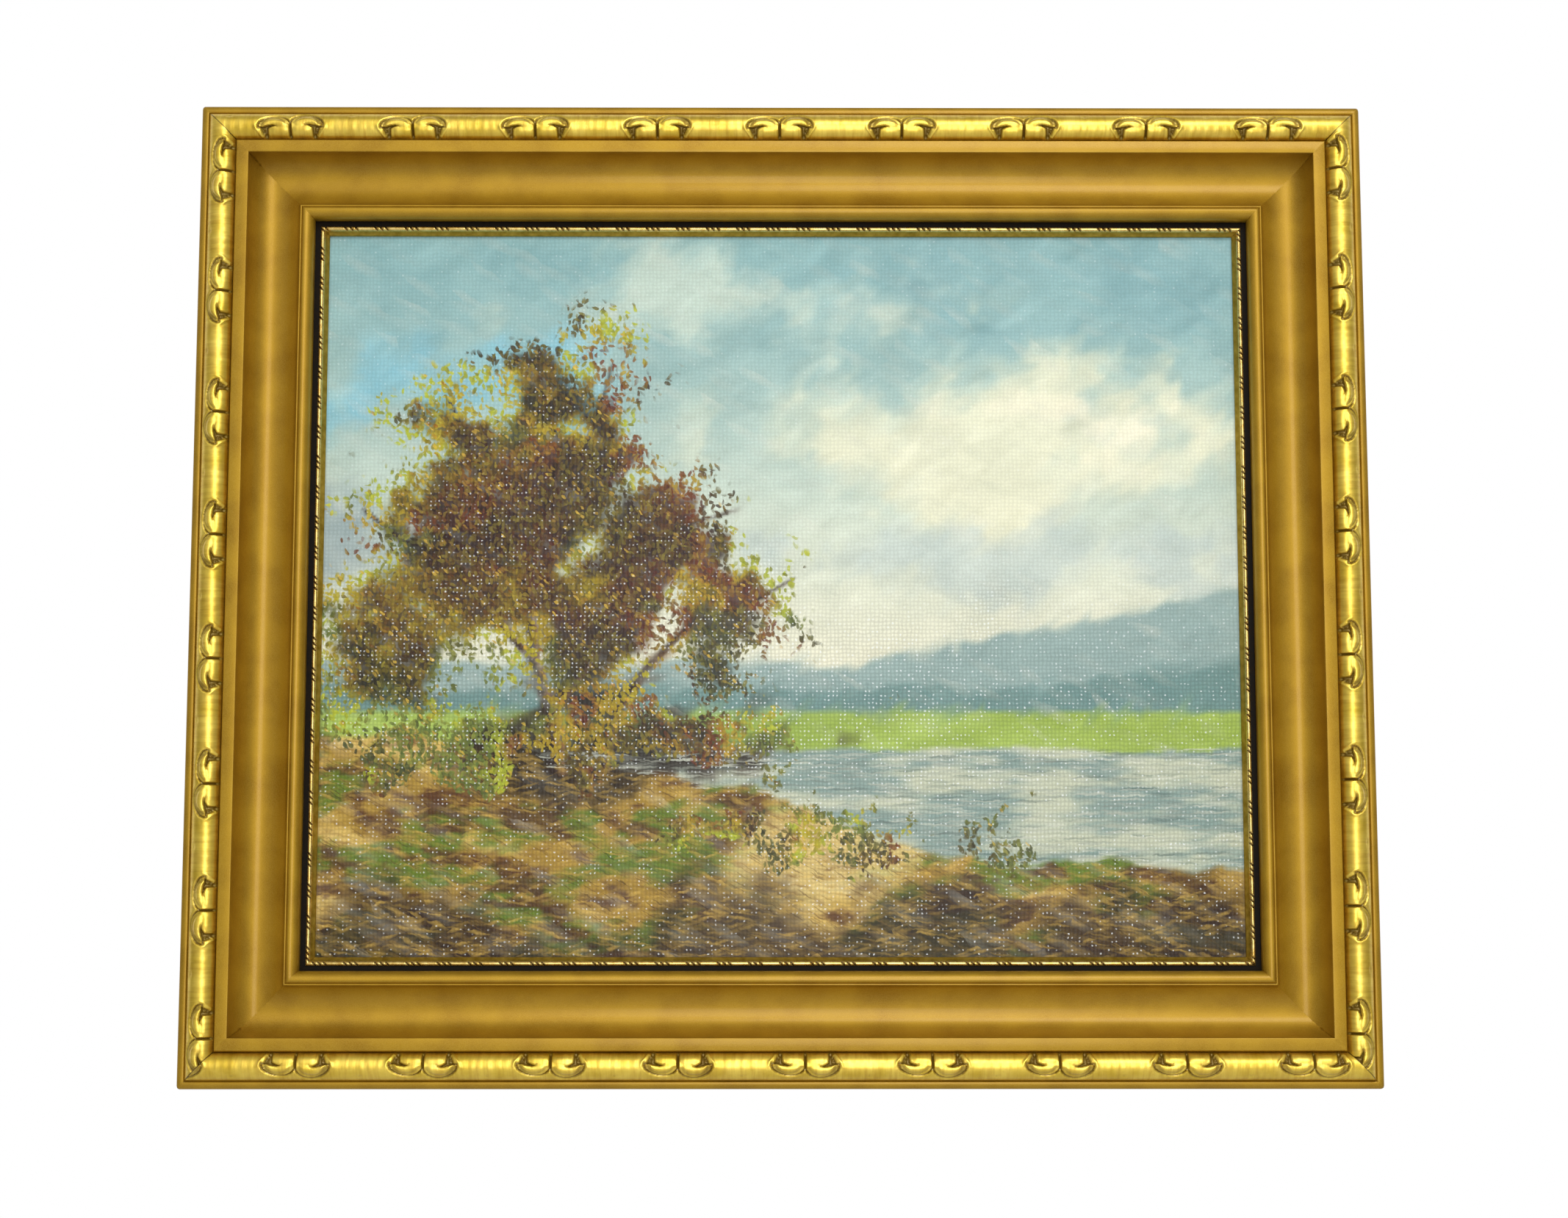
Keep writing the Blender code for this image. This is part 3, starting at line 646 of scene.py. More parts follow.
def liner_profile():
    """The liner's closed section as (across, up, zone of the face after)."""
    bead = section_arc(BAND_END + SLIP_WIDTH / 2, LINER_TOP, SLIP_WIDTH / 2, SLIP_RISE, 180, 0, 8)
    marked = [(LINER_OUTER_W, LINER_LEG, ZONE_BACKING), (LINER_OUTER_W, LINER_TOP, ZONE_BAND)]
    marked += [(MOULDING_FACE + 0.5 * MM, LINER_TOP, ZONE_BAND), (BAND_END - 0.1 * MM, LINER_TOP, ZONE_BAND)]
    marked += [(w, h, ZONE_SLIP) for w, h in bead[:-1]]
    marked += [(*bead[-1], ZONE_BEVEL), (SIGHT_W - 0.25 * MM, LINER_TOP - BEVEL_FALL, ZONE_BEVEL)]
    marked += [(SIGHT_W, LINER_TOP - BEVEL_FALL - 0.3 * MM, ZONE_BEVEL)]
    marked += [(SIGHT_W, LINER_UNDER, ZONE_BACKING)]
    marked += [(LINER_LEG_W, LINER_UNDER, ZONE_BACKING), (LINER_LEG_W, LINER_LEG, ZONE_BACKING)]
    return marked


def liner_tile(slant_way):
    """One repeat of the slip: a bar, then three slanting notches with two beads between them."""
    half_pitch = SLIP_PITCH / MM / 2
    bar_end = NOTCHES_HALF + 0.94
    near = np.arange(-NOTCHES_HALF, NOTCHES_HALF + 0.01, NOTCH_STEP)
    stations = np.concatenate([[-half_pitch, -bar_end], near, [bar_end, half_pitch]])
    grid_s, grid_w, grid_h, zones = section_grid(liner_profile(), stations)
    slip_middle = BAND_END + SLIP_WIDTH / 2
    across = (grid_w - slip_middle) / (SLIP_WIDTH / 2)
    on_slip = np.clip(1 - across ** 6, 0, 1)
    slanted = grid_s - slant_way * NOTCH_SLANT * np.clip(across, -1, 1)
    cut = np.zeros_like(grid_s)
    for place in (-NOTCH_SPACING, 0, NOTCH_SPACING):
        cut = np.maximum(cut, np.clip(1 - ((slanted - place) / NOTCH_RADIUS) ** 2, 0, 1))
    grid_h -= NOTCH_DEPTH * MM * cut * on_slip
    return open_tube("liner_tile", grid_s, grid_w, grid_h, zones, cut * on_slip)


def black_band():
    """Brown-black casein paint, nearly matte, brushed along the strip."""
    made, tree, shader = new_finish("black_band")
    place = attribute(tree, "liner_place", "Vector")
    streaks = noise_at(tree, place, 700.0, 3.0)
    tree.links.new(ramp(tree, streaks, ((0.35, colour(14, 10, 6)), (0.7, colour(28, 20, 10)))),
                   shader.inputs["Base Color"])
    tree.links.new(scaled(tree, streaks, 0.3, 0.7, 0.5, 0.66), shader.inputs["Roughness"])
    shader.inputs["Specular IOR Level"].default_value = 0.1
    bumped(tree, shader, streaks, 0.03 * MM, 0.4)
    return made


def slip_gold():
    """Pale leaf on the stamped lip, with painted shade darkening its notches."""
    made, tree, shader = new_finish("slip_gold")
    place = attribute(tree, "liner_place", "Vector")
    rub = noise_at(tree, place, 600.0, 3.0)
    gold = ramp(tree, rub, ((0.3, colour(206, 168, 84)), (0.65, colour(238, 212, 136))))
    recess = attribute(tree, "recess", "Fac")
    # Painted shade in the notches, by their share of shadow.
    shaded = mixed(tree, scaled(tree, recess, 0.2, 0.85, 0.0, 0.9), gold, colour(48, 30, 10))
    tree.links.new(shaded, shader.inputs["Base Color"])
    tree.links.new(scaled(tree, rub, 0.3, 0.7, 0.22, 0.34), shader.inputs["Roughness"])
    shader.inputs["Metallic"].default_value = 0.9
    bumped(tree, shader, rub, 0.03 * MM, 0.4)
    return made


def bevel_gold():
    """Dull greenish bronze on the inner bevel."""
    made, tree, shader = new_finish("bevel_gold")
    place = attribute(tree, "liner_place", "Vector")
    rub = noise_at(tree, place, 500.0, 3.0)
    tree.links.new(ramp(tree, rub, ((0.3, colour(150, 120, 30)), (0.7, colour(186, 156, 62)))),
                   shader.inputs["Base Color"])
    tree.links.new(scaled(tree, rub, 0.3, 0.7, 0.36, 0.5), shader.inputs["Roughness"])
    shader.inputs["Metallic"].default_value = 0.8
    bumped(tree, shader, rub, 0.03 * MM, 0.4)
    return made


liner_wood = bare_wood("liner_wood", "liner_place", colour(176, 138, 92), colour(136, 98, 58))
liner_finishes = (black_band(), slip_gold(), bevel_gold(), liner_wood)
liner_repeat, liner_ids = repeat_tree("repeat_slip", len(liner_finishes))
for side in SIDES:
    length = side_length(side)
    slip_tile = liner_tile(SLANT_WAY[side])
    strip = repeated_length(slip_tile, liner_repeat, liner_ids, length, FIRST_NOTCHES[side], SLIP_PITCH,
                            liner_finishes)
    mitred_length(strip, side, MITRE_GAP / 2, ZONE_BACKING)
    place_on_side(strip, side, "liner_place")
    piece = as_piece(f"liner_strip_{side}", strip)
    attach(piece, "root")
    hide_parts(f"liner_{side}")
    bpy.data.meshes.remove(slip_tile)


# Painted canvas
# Coarse plain-weave linen, sized and primed, stretched over the four bars and turned onto their backs.
# The picture is a made-up lakeside landscape in oil paint under a glossy varnish.
canvas_low, canvas_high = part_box("painted_canvas")
CANVAS_MIDDLE = (canvas_low + canvas_high) / 2
CANVAS_WIDTH = canvas_high.x - canvas_low.x
CANVAS_HEIGHT = canvas_high.z - canvas_low.z
CANVAS_FRONT_Y = canvas_low.y
CANVAS_THICKNESS = 0.7 * MM
TURNOVER = 18.0 * MM
FOLD_LENGTH = 19.0 * MM
FOLD_RISE = 0.55 * MM
SIGHT_HALF_X = FRAME_WIDTH / 2 - SIGHT_W
SIGHT_HALF_Z = FRAME_HEIGHT / 2 - SIGHT_W
EDGE_RADIUS = 0.9 * MM
THREAD_PITCH = 1.26 * MM
THREAD_WANDER = 1.5 * MM
STROKE_SWAY = 1.6 * MM
SLACK = 0.16 * MM
PAINT_THICKNESS = 0.12 * MM
SHOWN_MARGIN = 0.4 * MM
SHOWN_COLUMNS = 326
SHOWN_ROWS = 258
PAINT_PER_MM = 2.5
PAINTED_DABS = 5200
BRUSH_SEED = 41
# The picture is painted in millimetres from its middle.
HALF_X, HALF_Z = CANVAS_WIDTH / MM / 2, CANVAS_HEIGHT / MM / 2
draw = np.random.default_rng(BRUSH_SEED)
columns = int(round(2 * HALF_X * PAINT_PER_MM))
rows = int(round(2 * HALF_Z * PAINT_PER_MM))
paint_x, paint_z = np.meshgrid((np.arange(columns) + 0.5) / PAINT_PER_MM - HALF_X,
                               HALF_Z - (np.arange(rows) + 0.5) / PAINT_PER_MM)


def mottle(x, z, size, seed, octaves=4):
    """Soft random patches about that many millimetres across, from -1 to 1."""
    total = np.zeros(np.shape(x))
    for octave in range(octaves):
        lattice = np.random.default_rng(seed * 10 + octave).uniform(-1, 1, (64, 64))
        u = x / size * 2 ** octave + 17.3
        v = z / size * 2 ** octave + 9.1
        i, j = np.floor(u).astype(int), np.floor(v).astype(int)
        share_u = (u - i) ** 2 * (3 - 2 * (u - i))
        share_v = (v - j) ** 2 * (3 - 2 * (v - j))
        low = lattice[i % 64, j % 64] * (1 - share_u) + lattice[(i + 1) % 64, j % 64] * share_u
        high = lattice[i % 64, (j + 1) % 64] * (1 - share_u) + lattice[(i + 1) % 64, (j + 1) % 64] * share_u
        total += (low * (1 - share_v) + high * share_v) * 0.55 ** octave
    return np.clip(total, -1, 1)


def rise(value, low, high):
    """0 below low, 1 above high, smooth between."""
    t = np.clip((value - low) / (high - low), 0, 1)
    return t * t * (3 - 2 * t)


def laid_over(under, shade, mask):
    """Paint of one shade laid over what is there, by a mask from 0 to 1."""
    return under + (np.asarray(shade, float) - under) * np.asarray(mask)[..., None]


def patch(x, z, middle_x, middle_z, reach_x, reach_z, seed, ragged=0.5):
    """A soft ragged patch, about 1 at its middle and below 0 outside."""
    away = np.hypot((x - middle_x) / reach_x, (z - middle_z) / reach_z)
    return 1 - away + ragged * mottle(x, z, 0.45 * min(reach_x, reach_z) + 8, seed)


# Patches of the sky: colour, strength, middle (x, z), reach (x, z), seed, and how deep inside each one
# starts and is full
SKY_PATCHES = (((138, 180, 186), 0.7, (120, 108), (95, 40), 3, 0, 0.7),
               ((140, 202, 222), 0.8, (-98, 66), (52, 26), 4, 0, 0.6),
               ((146, 166, 174), 0.75, (-128, 14), (70, 34), 5, 0, 0.7),
               ((244, 242, 212), 0.85, (70, 44), (80, 38), 6, 0, 0.6),
               ((254, 248, 222), 0.75, (92, 58), (40, 20), 7, 0.1, 0.7),
               ((192, 208, 208), 0.6, (60, 12), (90, 16), 8, 0, 0.6),
               ((230, 236, 216), 0.6, (-20, 92), (60, 22), 9, 0, 0.6))


def sky(x, z):
    """Teal and blue sky with cream and grey clouds."""
    height = rise(z, -35, 115)[..., None]
    tone = np.array([242, 240, 216]) * (1 - height) + np.array([142, 184, 188]) * height
    for shade, strength, middle, reach, seed, edge, full in SKY_PATCHES:
        cover = strength * rise(patch(x, z, *middle, *reach, seed), edge, full)
        tone = laid_over(tone, shade, cover)
    return tone + 7 * mottle(x, z, 9, 11)[..., None] * np.array([1.0, 0.9, 0.8])


def hill_line(x, far):
    """Upper edge of the far or the near hills."""
    if far:
        return -22 + 20 * rise(x, 10, 150) + 2.5 * mottle(x, 0 * x, 26, 12)
    return -31 + 9 * rise(x, 60, 150) + 1.6 * mottle(x, 0 * x, 15, 13)


SHORE_Z = -41.0
WATER_Z = -50.0


def bank_line(x):
    """Upper edge of the near bank, high under the trees on the left and low on the right."""
    return -52 - 34 * rise(x, -60, 70) + 9 * rise(-x, 60, 150) + 3 * mottle(x, 0 * x, 22, 14)


# Rounded masses of leaves: middle (x, z) and reach (x, z)
FOLIAGE = ((-76, 30, 38, 34), (-104, 8, 30, 30), (-46, 14, 30, 26), (-66, 60, 24, 20), (-96, 46, 24, 20),
           (-24, -8, 24, 20), (-122, -14, 24, 26), (-62, -8, 44, 24))


def foliage_depth(x, z):
    """How deep inside the trees' leaves a place is: below 0 outside, about 1 well inside."""
    deep = np.full(np.shape(x), -9.0)
    for middle_x, middle_z, reach_x, reach_z in FOLIAGE:
        away = np.hypot((x - middle_x) / reach_x, (z - middle_z) / reach_z)
        deep = np.maximum(deep, (1 - away) * min(reach_x, reach_z) / 22)
    return deep + 0.42 * mottle(x, z, 15, 21)


def land(x, z, tone):
    """Hills, meadow, water and the near bank, painted over the sky."""
    tone = laid_over(tone, (146, 174, 174), 0.9 * rise(hill_line(x, far=True) - z, -1.5, 1.5))
    tone = laid_over(tone, (112, 148, 146), 0.9 * rise(hill_line(x, far=False) - z, -1.2, 1.2))
    meadow = np.array([170, 196, 92]) + 14 * mottle(x, 3 * z, 18, 15)[..., None]
    tone = laid_over(tone, meadow, rise(SHORE_Z + 3 - z, -1, 1.2))
    gleam = rise(mottle(x, 5 * z, 30, 16), -0.3, 0.5)[..., None]
    water = np.array([142, 166, 160]) * (1 - gleam) + np.array([206, 212, 188]) * gleam
    tone = laid_over(tone, water, rise(WATER_Z - z + 1.2 * mottle(x, 0 * x, 12, 17), -0.8, 0.8))
    ground = np.array([176, 142, 58]) + np.zeros(np.shape(x) + (3,))
    ground = laid_over(ground, (228, 196, 112), rise(mottle(x + 2 * z, 2.4 * z, 26, 18), 0.0, 0.55))
    ground = laid_over(ground, (104, 128, 40), rise(mottle(x - z, 2.0 * z, 24, 19), -0.15, 0.35))
    ground = laid_over(ground, (84, 48, 28), 0.85 * rise(mottle(x + z, 2.8 * z, 13, 20), 0.15, 0.6))
    path = patch(x, z, 6 + 0.9 * (z + 90), -88, 30, 44, 33, 0.4)
    ground = laid_over(ground, (240, 216, 146), 0.8 * rise(path, 0.0, 0.5))
    ground = laid_over(ground, (44, 30, 24), 0.8 * rise(-88 - z + 14 * mottle(x, z, 20, 31), 0, 22))
    return laid_over(tone, ground, rise(bank_line(x) - z, -1.0, 1.0))


def leaf_tone(x, z):
    """Colour that the leaves would have at a place: green outside, rust and dark further in."""
    deep = foliage_depth(x, z)
    leaves = np.array([184, 198, 56]) + np.zeros(np.shape(x) + (3,))
    leaves = laid_over(leaves, (134, 104, 36), rise(deep, 0.05, 0.5))
    rust = mottle(x, z, 22, 22) + 0.6 * rise(deep, 0, 1)
    leaves = laid_over(leaves, (118, 50, 38), 0.95 * rise(rust, 0.0, 0.5))
    leaves = laid_over(leaves, (192, 172, 38), 0.8 * rise(mottle(x, z, 12, 23), 0.1, 0.45))
    dark = mottle(x, z, 16, 24) + 0.35 * rise(deep, 0.1, 0.9)
    leaves = laid_over(leaves, (44, 28, 28), 0.8 * rise(dark, 0.2, 0.6))
    leaves = laid_over(leaves, (70, 92, 62), 0.7 * rise(mottle(x, z, 19, 26) - 0.01 * (z + 10), 0.15, 0.5))
    leaves = laid_over(leaves, (74, 36, 34), 0.7 * rise(deep + 0.5 * mottle(x, z, 18, 32), 0.45, 1.1))
    return laid_over(leaves, (44, 34, 28), 0.85 * rise(-8 - z, 0, 26) * rise(deep, 0.1, 0.8))


def trees(x, z, tone):
    """The mass of leaves and the shade under it."""
    under = 0.6 * leaf_tone(x, z)
    tone = laid_over(tone, under, 0.9 * rise(foliage_depth(x, z), 0.1, 0.55))
    shade = rise(patch(x, z, -62, -50, 66, 16, 25), 0, 0.6)
    return laid_over(tone, (36, 26, 20), 0.9 * shade)


def shrub_share(x, z):
    """Where leaves are painted, from 0 to 1: the trees, a thicket under them and reeds by the water."""
    share = 0.9 * rise(foliage_depth(x, z), -0.6, 0.5)
    thicket = rise(patch(x, z, -70, -46, 76, 15, 27, 0.7), -0.1, 0.5)
    reeds = 0.8 * rise(patch(x, z, 26, -78, 60, 9, 28, 0.9), -0.1, 0.6)
    return np.maximum(share, np.maximum(thicket, reeds))


def ground_share(x, z):
    """Where the near bank is painted, from 0 to 1."""
    return rise(bank_line(x) - z, 0.0, 2.0)


def water_share(x, z):
    """Where the water is painted, from 0 to 1."""
    return rise(WATER_Z - z, -0.5, 1.0) * (1 - ground_share(x, z))


def glint_share(x, z):
    """How many thread crossings catch the light, with painted highlights, and how deep the painted shade
    between the threads is: few in the upper sky, many in dark and low places.
    """
    share = 0.1 + 0.2 * rise(20 - z, 0, 60) + 0.24 * rise(patch(x, z, 30, -30, 70, 40, 29), 0, 0.8)
    return np.clip(share + 0.12 * shrub_share(x, z) + 0.14 * rise(foliage_depth(x, z), 0.3, 1.2), 0, 0.6)


def dab(picture, relief, x, z, length, width, angle, shade, strength):
    """Lays one soft-edged brush dab on the picture, and its thickness on the relief."""
    reach = int(math.ceil((length + width) / 2 * PAINT_PER_MM)) + 1
    column = int((x + HALF_X) * PAINT_PER_MM)
    row = int((HALF_Z - z) * PAINT_PER_MM)
    part = (slice(max(row - reach, 0), max(row + reach, 0)),
            slice(max(column - reach, 0), max(column + reach, 0)))
    dx, dz = paint_x[part] - x, paint_z[part] - z
    if dx.size == 0:
        return
    along = dx * math.cos(angle) + dz * math.sin(angle)
    across = dz * math.cos(angle) - dx * math.sin(angle)
    share = np.clip(1.35 - 1.35 * np.hypot(along / (length / 2), across / (width / 2)), 0, 1) * strength
    picture[part] += (shade - picture[part]) * share[..., None]
    relief[part] = np.maximum(relief[part] * (1 - 0.5 * share), share)


# Trunks and boughs as runs of (x, z, thickness)
STEMS = (((-70, -58, 7.0), (-72, -40, 5.2), (-78, -20, 4.2), (-80, 4, 3.4), (-74, 26, 2.6), (-70, 44, 1.4)),
         ((-72, -38, 4.0), (-60, -22, 3.4), (-50, -4, 2.8), (-44, 12, 2.0), (-40, 24, 1.0)),
         ((-78, -22, 3.2), (-94, -4, 2.6), (-104, 12, 1.8), (-108, 22, 1.0)),
         ((-56, -56, 4.4), (-52, -38, 3.4), (-40, -22, 2.6), (-28, -10, 1.4)),
         ((-80, 2, 2.4), (-90, 24, 1.8), (-98, 46, 1.1), (-106, 62, 0.8)),
         ((-74, 26, 2.0), (-62, 46, 1.4), (-56, 64, 1.0), (-54, 72, 0.7)),
         ((-70, 44, 1.3), (-74, 60, 1.0), (-78, 70, 0.7)), ((-64, 42, 1.2), (-54, 46, 1.0), (-44, 43, 0.7)),
         ((-44, 12, 1.6), (-28, 22, 1.1), (-14, 26, 0.8)),
         ((-92, 26, 1.2), (-108, 27, 0.9), (-117, 22, 0.7)),
         ((-104, 12, 1.4), (-120, 16, 1.0), (-132, 26, 0.8)), ((-30, -10, 1.2), (-10, -4, 0.9), (4, 4, 0.8)))


def stems(picture, relief):
    """Trunks and boughs as chains of short dabs, lit from the right."""
    for stem in STEMS:
        for (x0, z0, w0), (x1, z1, w1) in zip(stem, stem[1:]):
            angle = math.atan2(z1 - z0, x1 - x0)
            steps = int(math.hypot(x1 - x0, z1 - z0) / 0.9) + 1
            for step in range(steps):
                t = (step + draw.uniform(0, 1)) / steps
                width = w0 + (w1 - w0) * t
                x = x0 + (x1 - x0) * t + draw.normal(0, 0.08 * width)
                z = z0 + (z1 - z0) * t
                dab(picture, relief, x, z, 4.0, 0.7 + width, angle, np.array([44, 28, 22]), 0.85)
                if width > 1.6:
                    dab(picture, relief, x + 0.28 * width, z, 4.0, 0.45 * width, angle,
                        np.array([170, 130, 84]) + draw.normal(0, 14), 0.7)


def painted_picture():
    """The picture as colours 0 to 255, and the relief of its brushwork from 0 to 1."""
    picture = trees(paint_x, paint_z, land(paint_x, paint_z, sky(paint_x, paint_z)))
    relief = np.zeros(picture.shape[:2])
    stems(picture, relief)
    for _ in range(PAINTED_DABS):
        x, z = draw.uniform(-HALF_X, HALF_X), draw.uniform(-HALF_Z, HALF_Z)
        row, column = int((HALF_Z - z) * PAINT_PER_MM), int((x + HALF_X) * PAINT_PER_MM)
        shade = picture[min(row, rows - 1), min(column, columns - 1)] + draw.normal(0, 5)
        in_sky = z > SHORE_Z and foliage_depth(np.array(x), np.array(z)) < 0
        length = draw.uniform(8, 18) if in_sky else draw.uniform(2.5, 7)
        angle = draw.normal(0.5, 0.35) if in_sky else draw.normal(0.1, 0.8)
        dab(picture, relief, x, z, length, length * 0.3, angle, shade, 0.5 if in_sky else 0.6)
    return np.clip(picture, 0, 255), relief


def linear_paint(values):
    """Linear colours from rows of the 0 to 255 values that a screen shows."""
    shares = np.asarray(values) / 255.0
    return np.where(shares <= 0.04045, shares / 12.92, ((shares + 0.055) / 1.055) ** 2.4)


def picked(field, x, z):
    """A painted field read between its points at places in millimetres."""
    u = np.clip((x + HALF_X) * PAINT_PER_MM - 0.5, 0, columns - 1.001)
    v = np.clip((HALF_Z - z) * PAINT_PER_MM - 0.5, 0, rows - 1.001)
    i, j = u.astype(int), v.astype(int)
    a, b = (u - i), (v - j)
    if field.ndim == 3:
        a, b = a[..., None], b[..., None]
    upper = field[j, i] * (1 - a) + field[j, i + 1] * a
    lower = field[j + 1, i] * (1 - a) + field[j + 1, i + 1] * a
    return upper * (1 - b) + lower * b


picture, brushwork = painted_picture()


def canvas_lines(half, sight_half, count):
    """Places of the front's grid lines on one axis: close where the picture shows, wide under the liner."""
    shown = np.linspace(-sight_half - SHOWN_MARGIN, sight_half + SHOWN_MARGIN, count)
    return np.concatenate([[-half], [-(half + sight_half) / 2], shown, [(half + sight_half) / 2], [half]])


def canvas_mesh():
    """The stretched canvas as one closed skin: front, edges, turned border, and its inner face.
    Returns the mesh, its points round its own middle, and how many points are in front and faces inside."""
    half_x, half_z = CANVAS_WIDTH / 2 - EDGE_RADIUS, CANVAS_HEIGHT / 2 - EDGE_RADIUS
    lines_x = canvas_lines(half_x, SIGHT_HALF_X, SHOWN_COLUMNS)
    lines_z = canvas_lines(half_z, SIGHT_HALF_Z, SHOWN_ROWS)
    grid_x, grid_z = np.meshgrid(lines_x, lines_z, indexing="ij")
    lift = picked(brushwork, grid_x / MM, grid_z / MM)
    inside = (np.abs(grid_x) < SIGHT_HALF_X) & (np.abs(grid_z) < SIGHT_HALF_Z)
    slack = np.abs(SLACK * mottle(grid_x / MM, grid_z / MM, 90, 51, 2))
    painted_y = CANVAS_FRONT_Y + PAINT_THICKNESS * (0.5 - lift) + slack
    grid_y = np.where(inside, painted_y, CANVAS_FRONT_Y)
    nx, nz = grid_x.shape
    points = [np.stack([grid_x, grid_y, grid_z], -1).reshape(-1, 3)]
    index = np.arange(nx * nz).reshape(nx, nz)
    quads = np.stack([index[:-1, :-1], index[1:, :-1], index[1:, 1:], index[:-1, 1:]], -1)
    faces = quads.reshape(-1, 4).tolist()
    ring = np.concatenate([index[:, 0], index[-1, 1:], index[-2::-1, -1], index[0, -2:0:-1]])
    start = points[0][ring]
    share_x, share_z = start[:, 0] / half_x, start[:, 2] / half_z
    back_y = canvas_high.y
    outer_x, outer_z = CANVAS_WIDTH / 2, CANVAS_HEIGHT / 2
    thin = CANVAS_THICKNESS
    turned_x, turned_z = outer_x - TURNOVER, outer_z - TURNOVER
    bend = 0.3 * EDGE_RADIUS
    stations = ((outer_x - bend, outer_z - bend, CANVAS_FRONT_Y + bend),
                (outer_x, outer_z, CANVAS_FRONT_Y + EDGE_RADIUS),
                (outer_x, outer_z, back_y - 0.3 * MM), (outer_x - 0.3 * MM, outer_z - 0.3 * MM, back_y),
                (turned_x, turned_z, back_y), (turned_x, turned_z, back_y - thin),
                (outer_x - thin, outer_z - thin, back_y - thin),
                (outer_x - thin, outer_z - thin, CANVAS_FRONT_Y + thin))
    on_upright = np.abs(share_x) > 0.999
    folded = on_upright & (np.abs(start[:, 2]) > half_z - FOLD_LENGTH)
    before = ring
    base = nx * nz
    for reach_x, reach_z, y in stations:
        raised = np.where(folded & (y > back_y - 0.1 * MM), y + FOLD_RISE, y)
        points.append(np.stack([share_x * reach_x, raised, share_z * reach_z], -1))
        now = base + np.arange(len(ring))
        base += len(ring)
        faces += np.stack([before, np.roll(before, -1), np.roll(now, -1), now], -1).tolist()
        before = now
    faces.append(before.tolist())
    places = np.concatenate(points)
    mesh = bpy.data.meshes.new("painted_picture")
    mesh.from_pydata((places + np.array([CANVAS_MIDDLE.x, 0, CANVAS_MIDDLE.z])).tolist(), [], faces)
    return mesh, places, nx * nz, 3 * len(ring) + 1


def colour_layer(mesh, name, shades):
    """Keeps one colour for each point as an attribute that the finishes read."""
    layer = mesh.attributes.new(name, "FLOAT_COLOR", "POINT")
    full = np.ones((len(shades), 4), np.float32)
    full[:, :3] = shades
    layer.data.foreach_set("color", full.ravel())


def calc(tree, operation, first, second=None):
    """One sum on one or two values, each an output or a fixed number."""
    made = tree.nodes.new("ShaderNodeMath")
    made.operation = operation
    feed(tree, first, made.inputs[0])
    if second is not None:
        feed(tree, second, made.inputs[1])
    return made.outputs[0]


def object_place(tree):
    """Place on a piece in metres, in the frame that all pieces share."""
    return tree.nodes.new("ShaderNodeTexCoord").outputs["Object"]


def wavering(tree, place, scale, detail, roughness, reach):
    """A place moved a little by noise, so that lines on it waver."""
    moved = tree.nodes.new("ShaderNodeVectorMath")
    moved.operation = "MULTIPLY_ADD"
    moved.inputs[1].default_value = (reach,) * 3
    tree.links.new(noise_at(tree, place, scale, detail, roughness, "Color"), moved.inputs[0])
    tree.links.new(place, moved.inputs[2])
    return moved.outputs[0]


def woven(tree, pitch):
    """Relief of a plain weave on the picture's plane, and a random share for each crossing of threads."""
    nodes, links = tree.nodes, tree.links
    cells = nodes.new("ShaderNodeVectorMath")
    cells.operation = "SCALE"
    cells.inputs["Scale"].default_value = 1 / pitch
    links.new(wavering(tree, object_place(tree), 260.0, 3.0, 0.7, THREAD_WANDER), cells.inputs[0])
    split = nodes.new("ShaderNodeSeparateXYZ")
    links.new(cells.outputs[0], split.inputs[0])
    off_x = calc(tree, "SUBTRACT", calc(tree, "FRACT", split.outputs["X"]), 0.5)
    off_z = calc(tree, "SUBTRACT", calc(tree, "FRACT", split.outputs["Z"]), 0.5)
    square = calc(tree, "ADD", calc(tree, "MULTIPLY", off_x, off_x), calc(tree, "MULTIPLY", off_z, off_z))
    knob = calc(tree, "SUBTRACT", 1.0, calc(tree, "MULTIPLY", calc(tree, "SQRT", square), 1.7))
    corner = nodes.new("ShaderNodeVectorMath")
    corner.operation = "FLOOR"
    links.new(cells.outputs[0], corner.inputs[0])
    flat = nodes.new("ShaderNodeVectorMath")
    flat.operation = "MULTIPLY"
    flat.inputs[1].default_value = (1, 0, 1)
    links.new(corner.outputs[0], flat.inputs[0])
    chance = nodes.new("ShaderNodeTexWhiteNoise")
    links.new(flat.outputs[0], chance.inputs["Vector"])
    return knob, chance.outputs["Value"]


def strokes(tree, place, length, width, angle, edge):
    """Brush strokes of one size and direction: their share of cover, and three random numbers for each."""
    turn = tree.nodes.new("ShaderNodeMapping")
    turn.vector_type = "TEXTURE"
    turn.inputs["Rotation"].default_value = (0, angle, 0)
    turn.inputs["Scale"].default_value = (length, 1.0, width)
    tree.links.new(place, turn.inputs["Vector"])
    split = tree.nodes.new("ShaderNodeSeparateXYZ")
    level = tree.nodes.new("ShaderNodeCombineXYZ")
    tree.links.new(turn.outputs[0], split.inputs[0])
    tree.links.new(split.outputs["X"], level.inputs["X"])
    tree.links.new(split.outputs["Z"], level.inputs["Y"])
    cells = tree.nodes.new("ShaderNodeTexVoronoi")
    cells.voronoi_dimensions = "2D"
    cells.inputs["Scale"].default_value = 1.0
    cells.inputs["Randomness"].default_value = 0.95
    tree.links.new(level.outputs[0], cells.inputs["Vector"])
    parts = tree.nodes.new("ShaderNodeSeparateColor")
    tree.links.new(cells.outputs["Color"], parts.inputs[0])
    cover = scaled(tree, cells.outputs["Distance"], 0.42 - edge, 0.42 + edge, 1.0, 0.0)
    return cover, parts.outputs["Red"], parts.outputs["Green"], parts.outputs["Blue"]


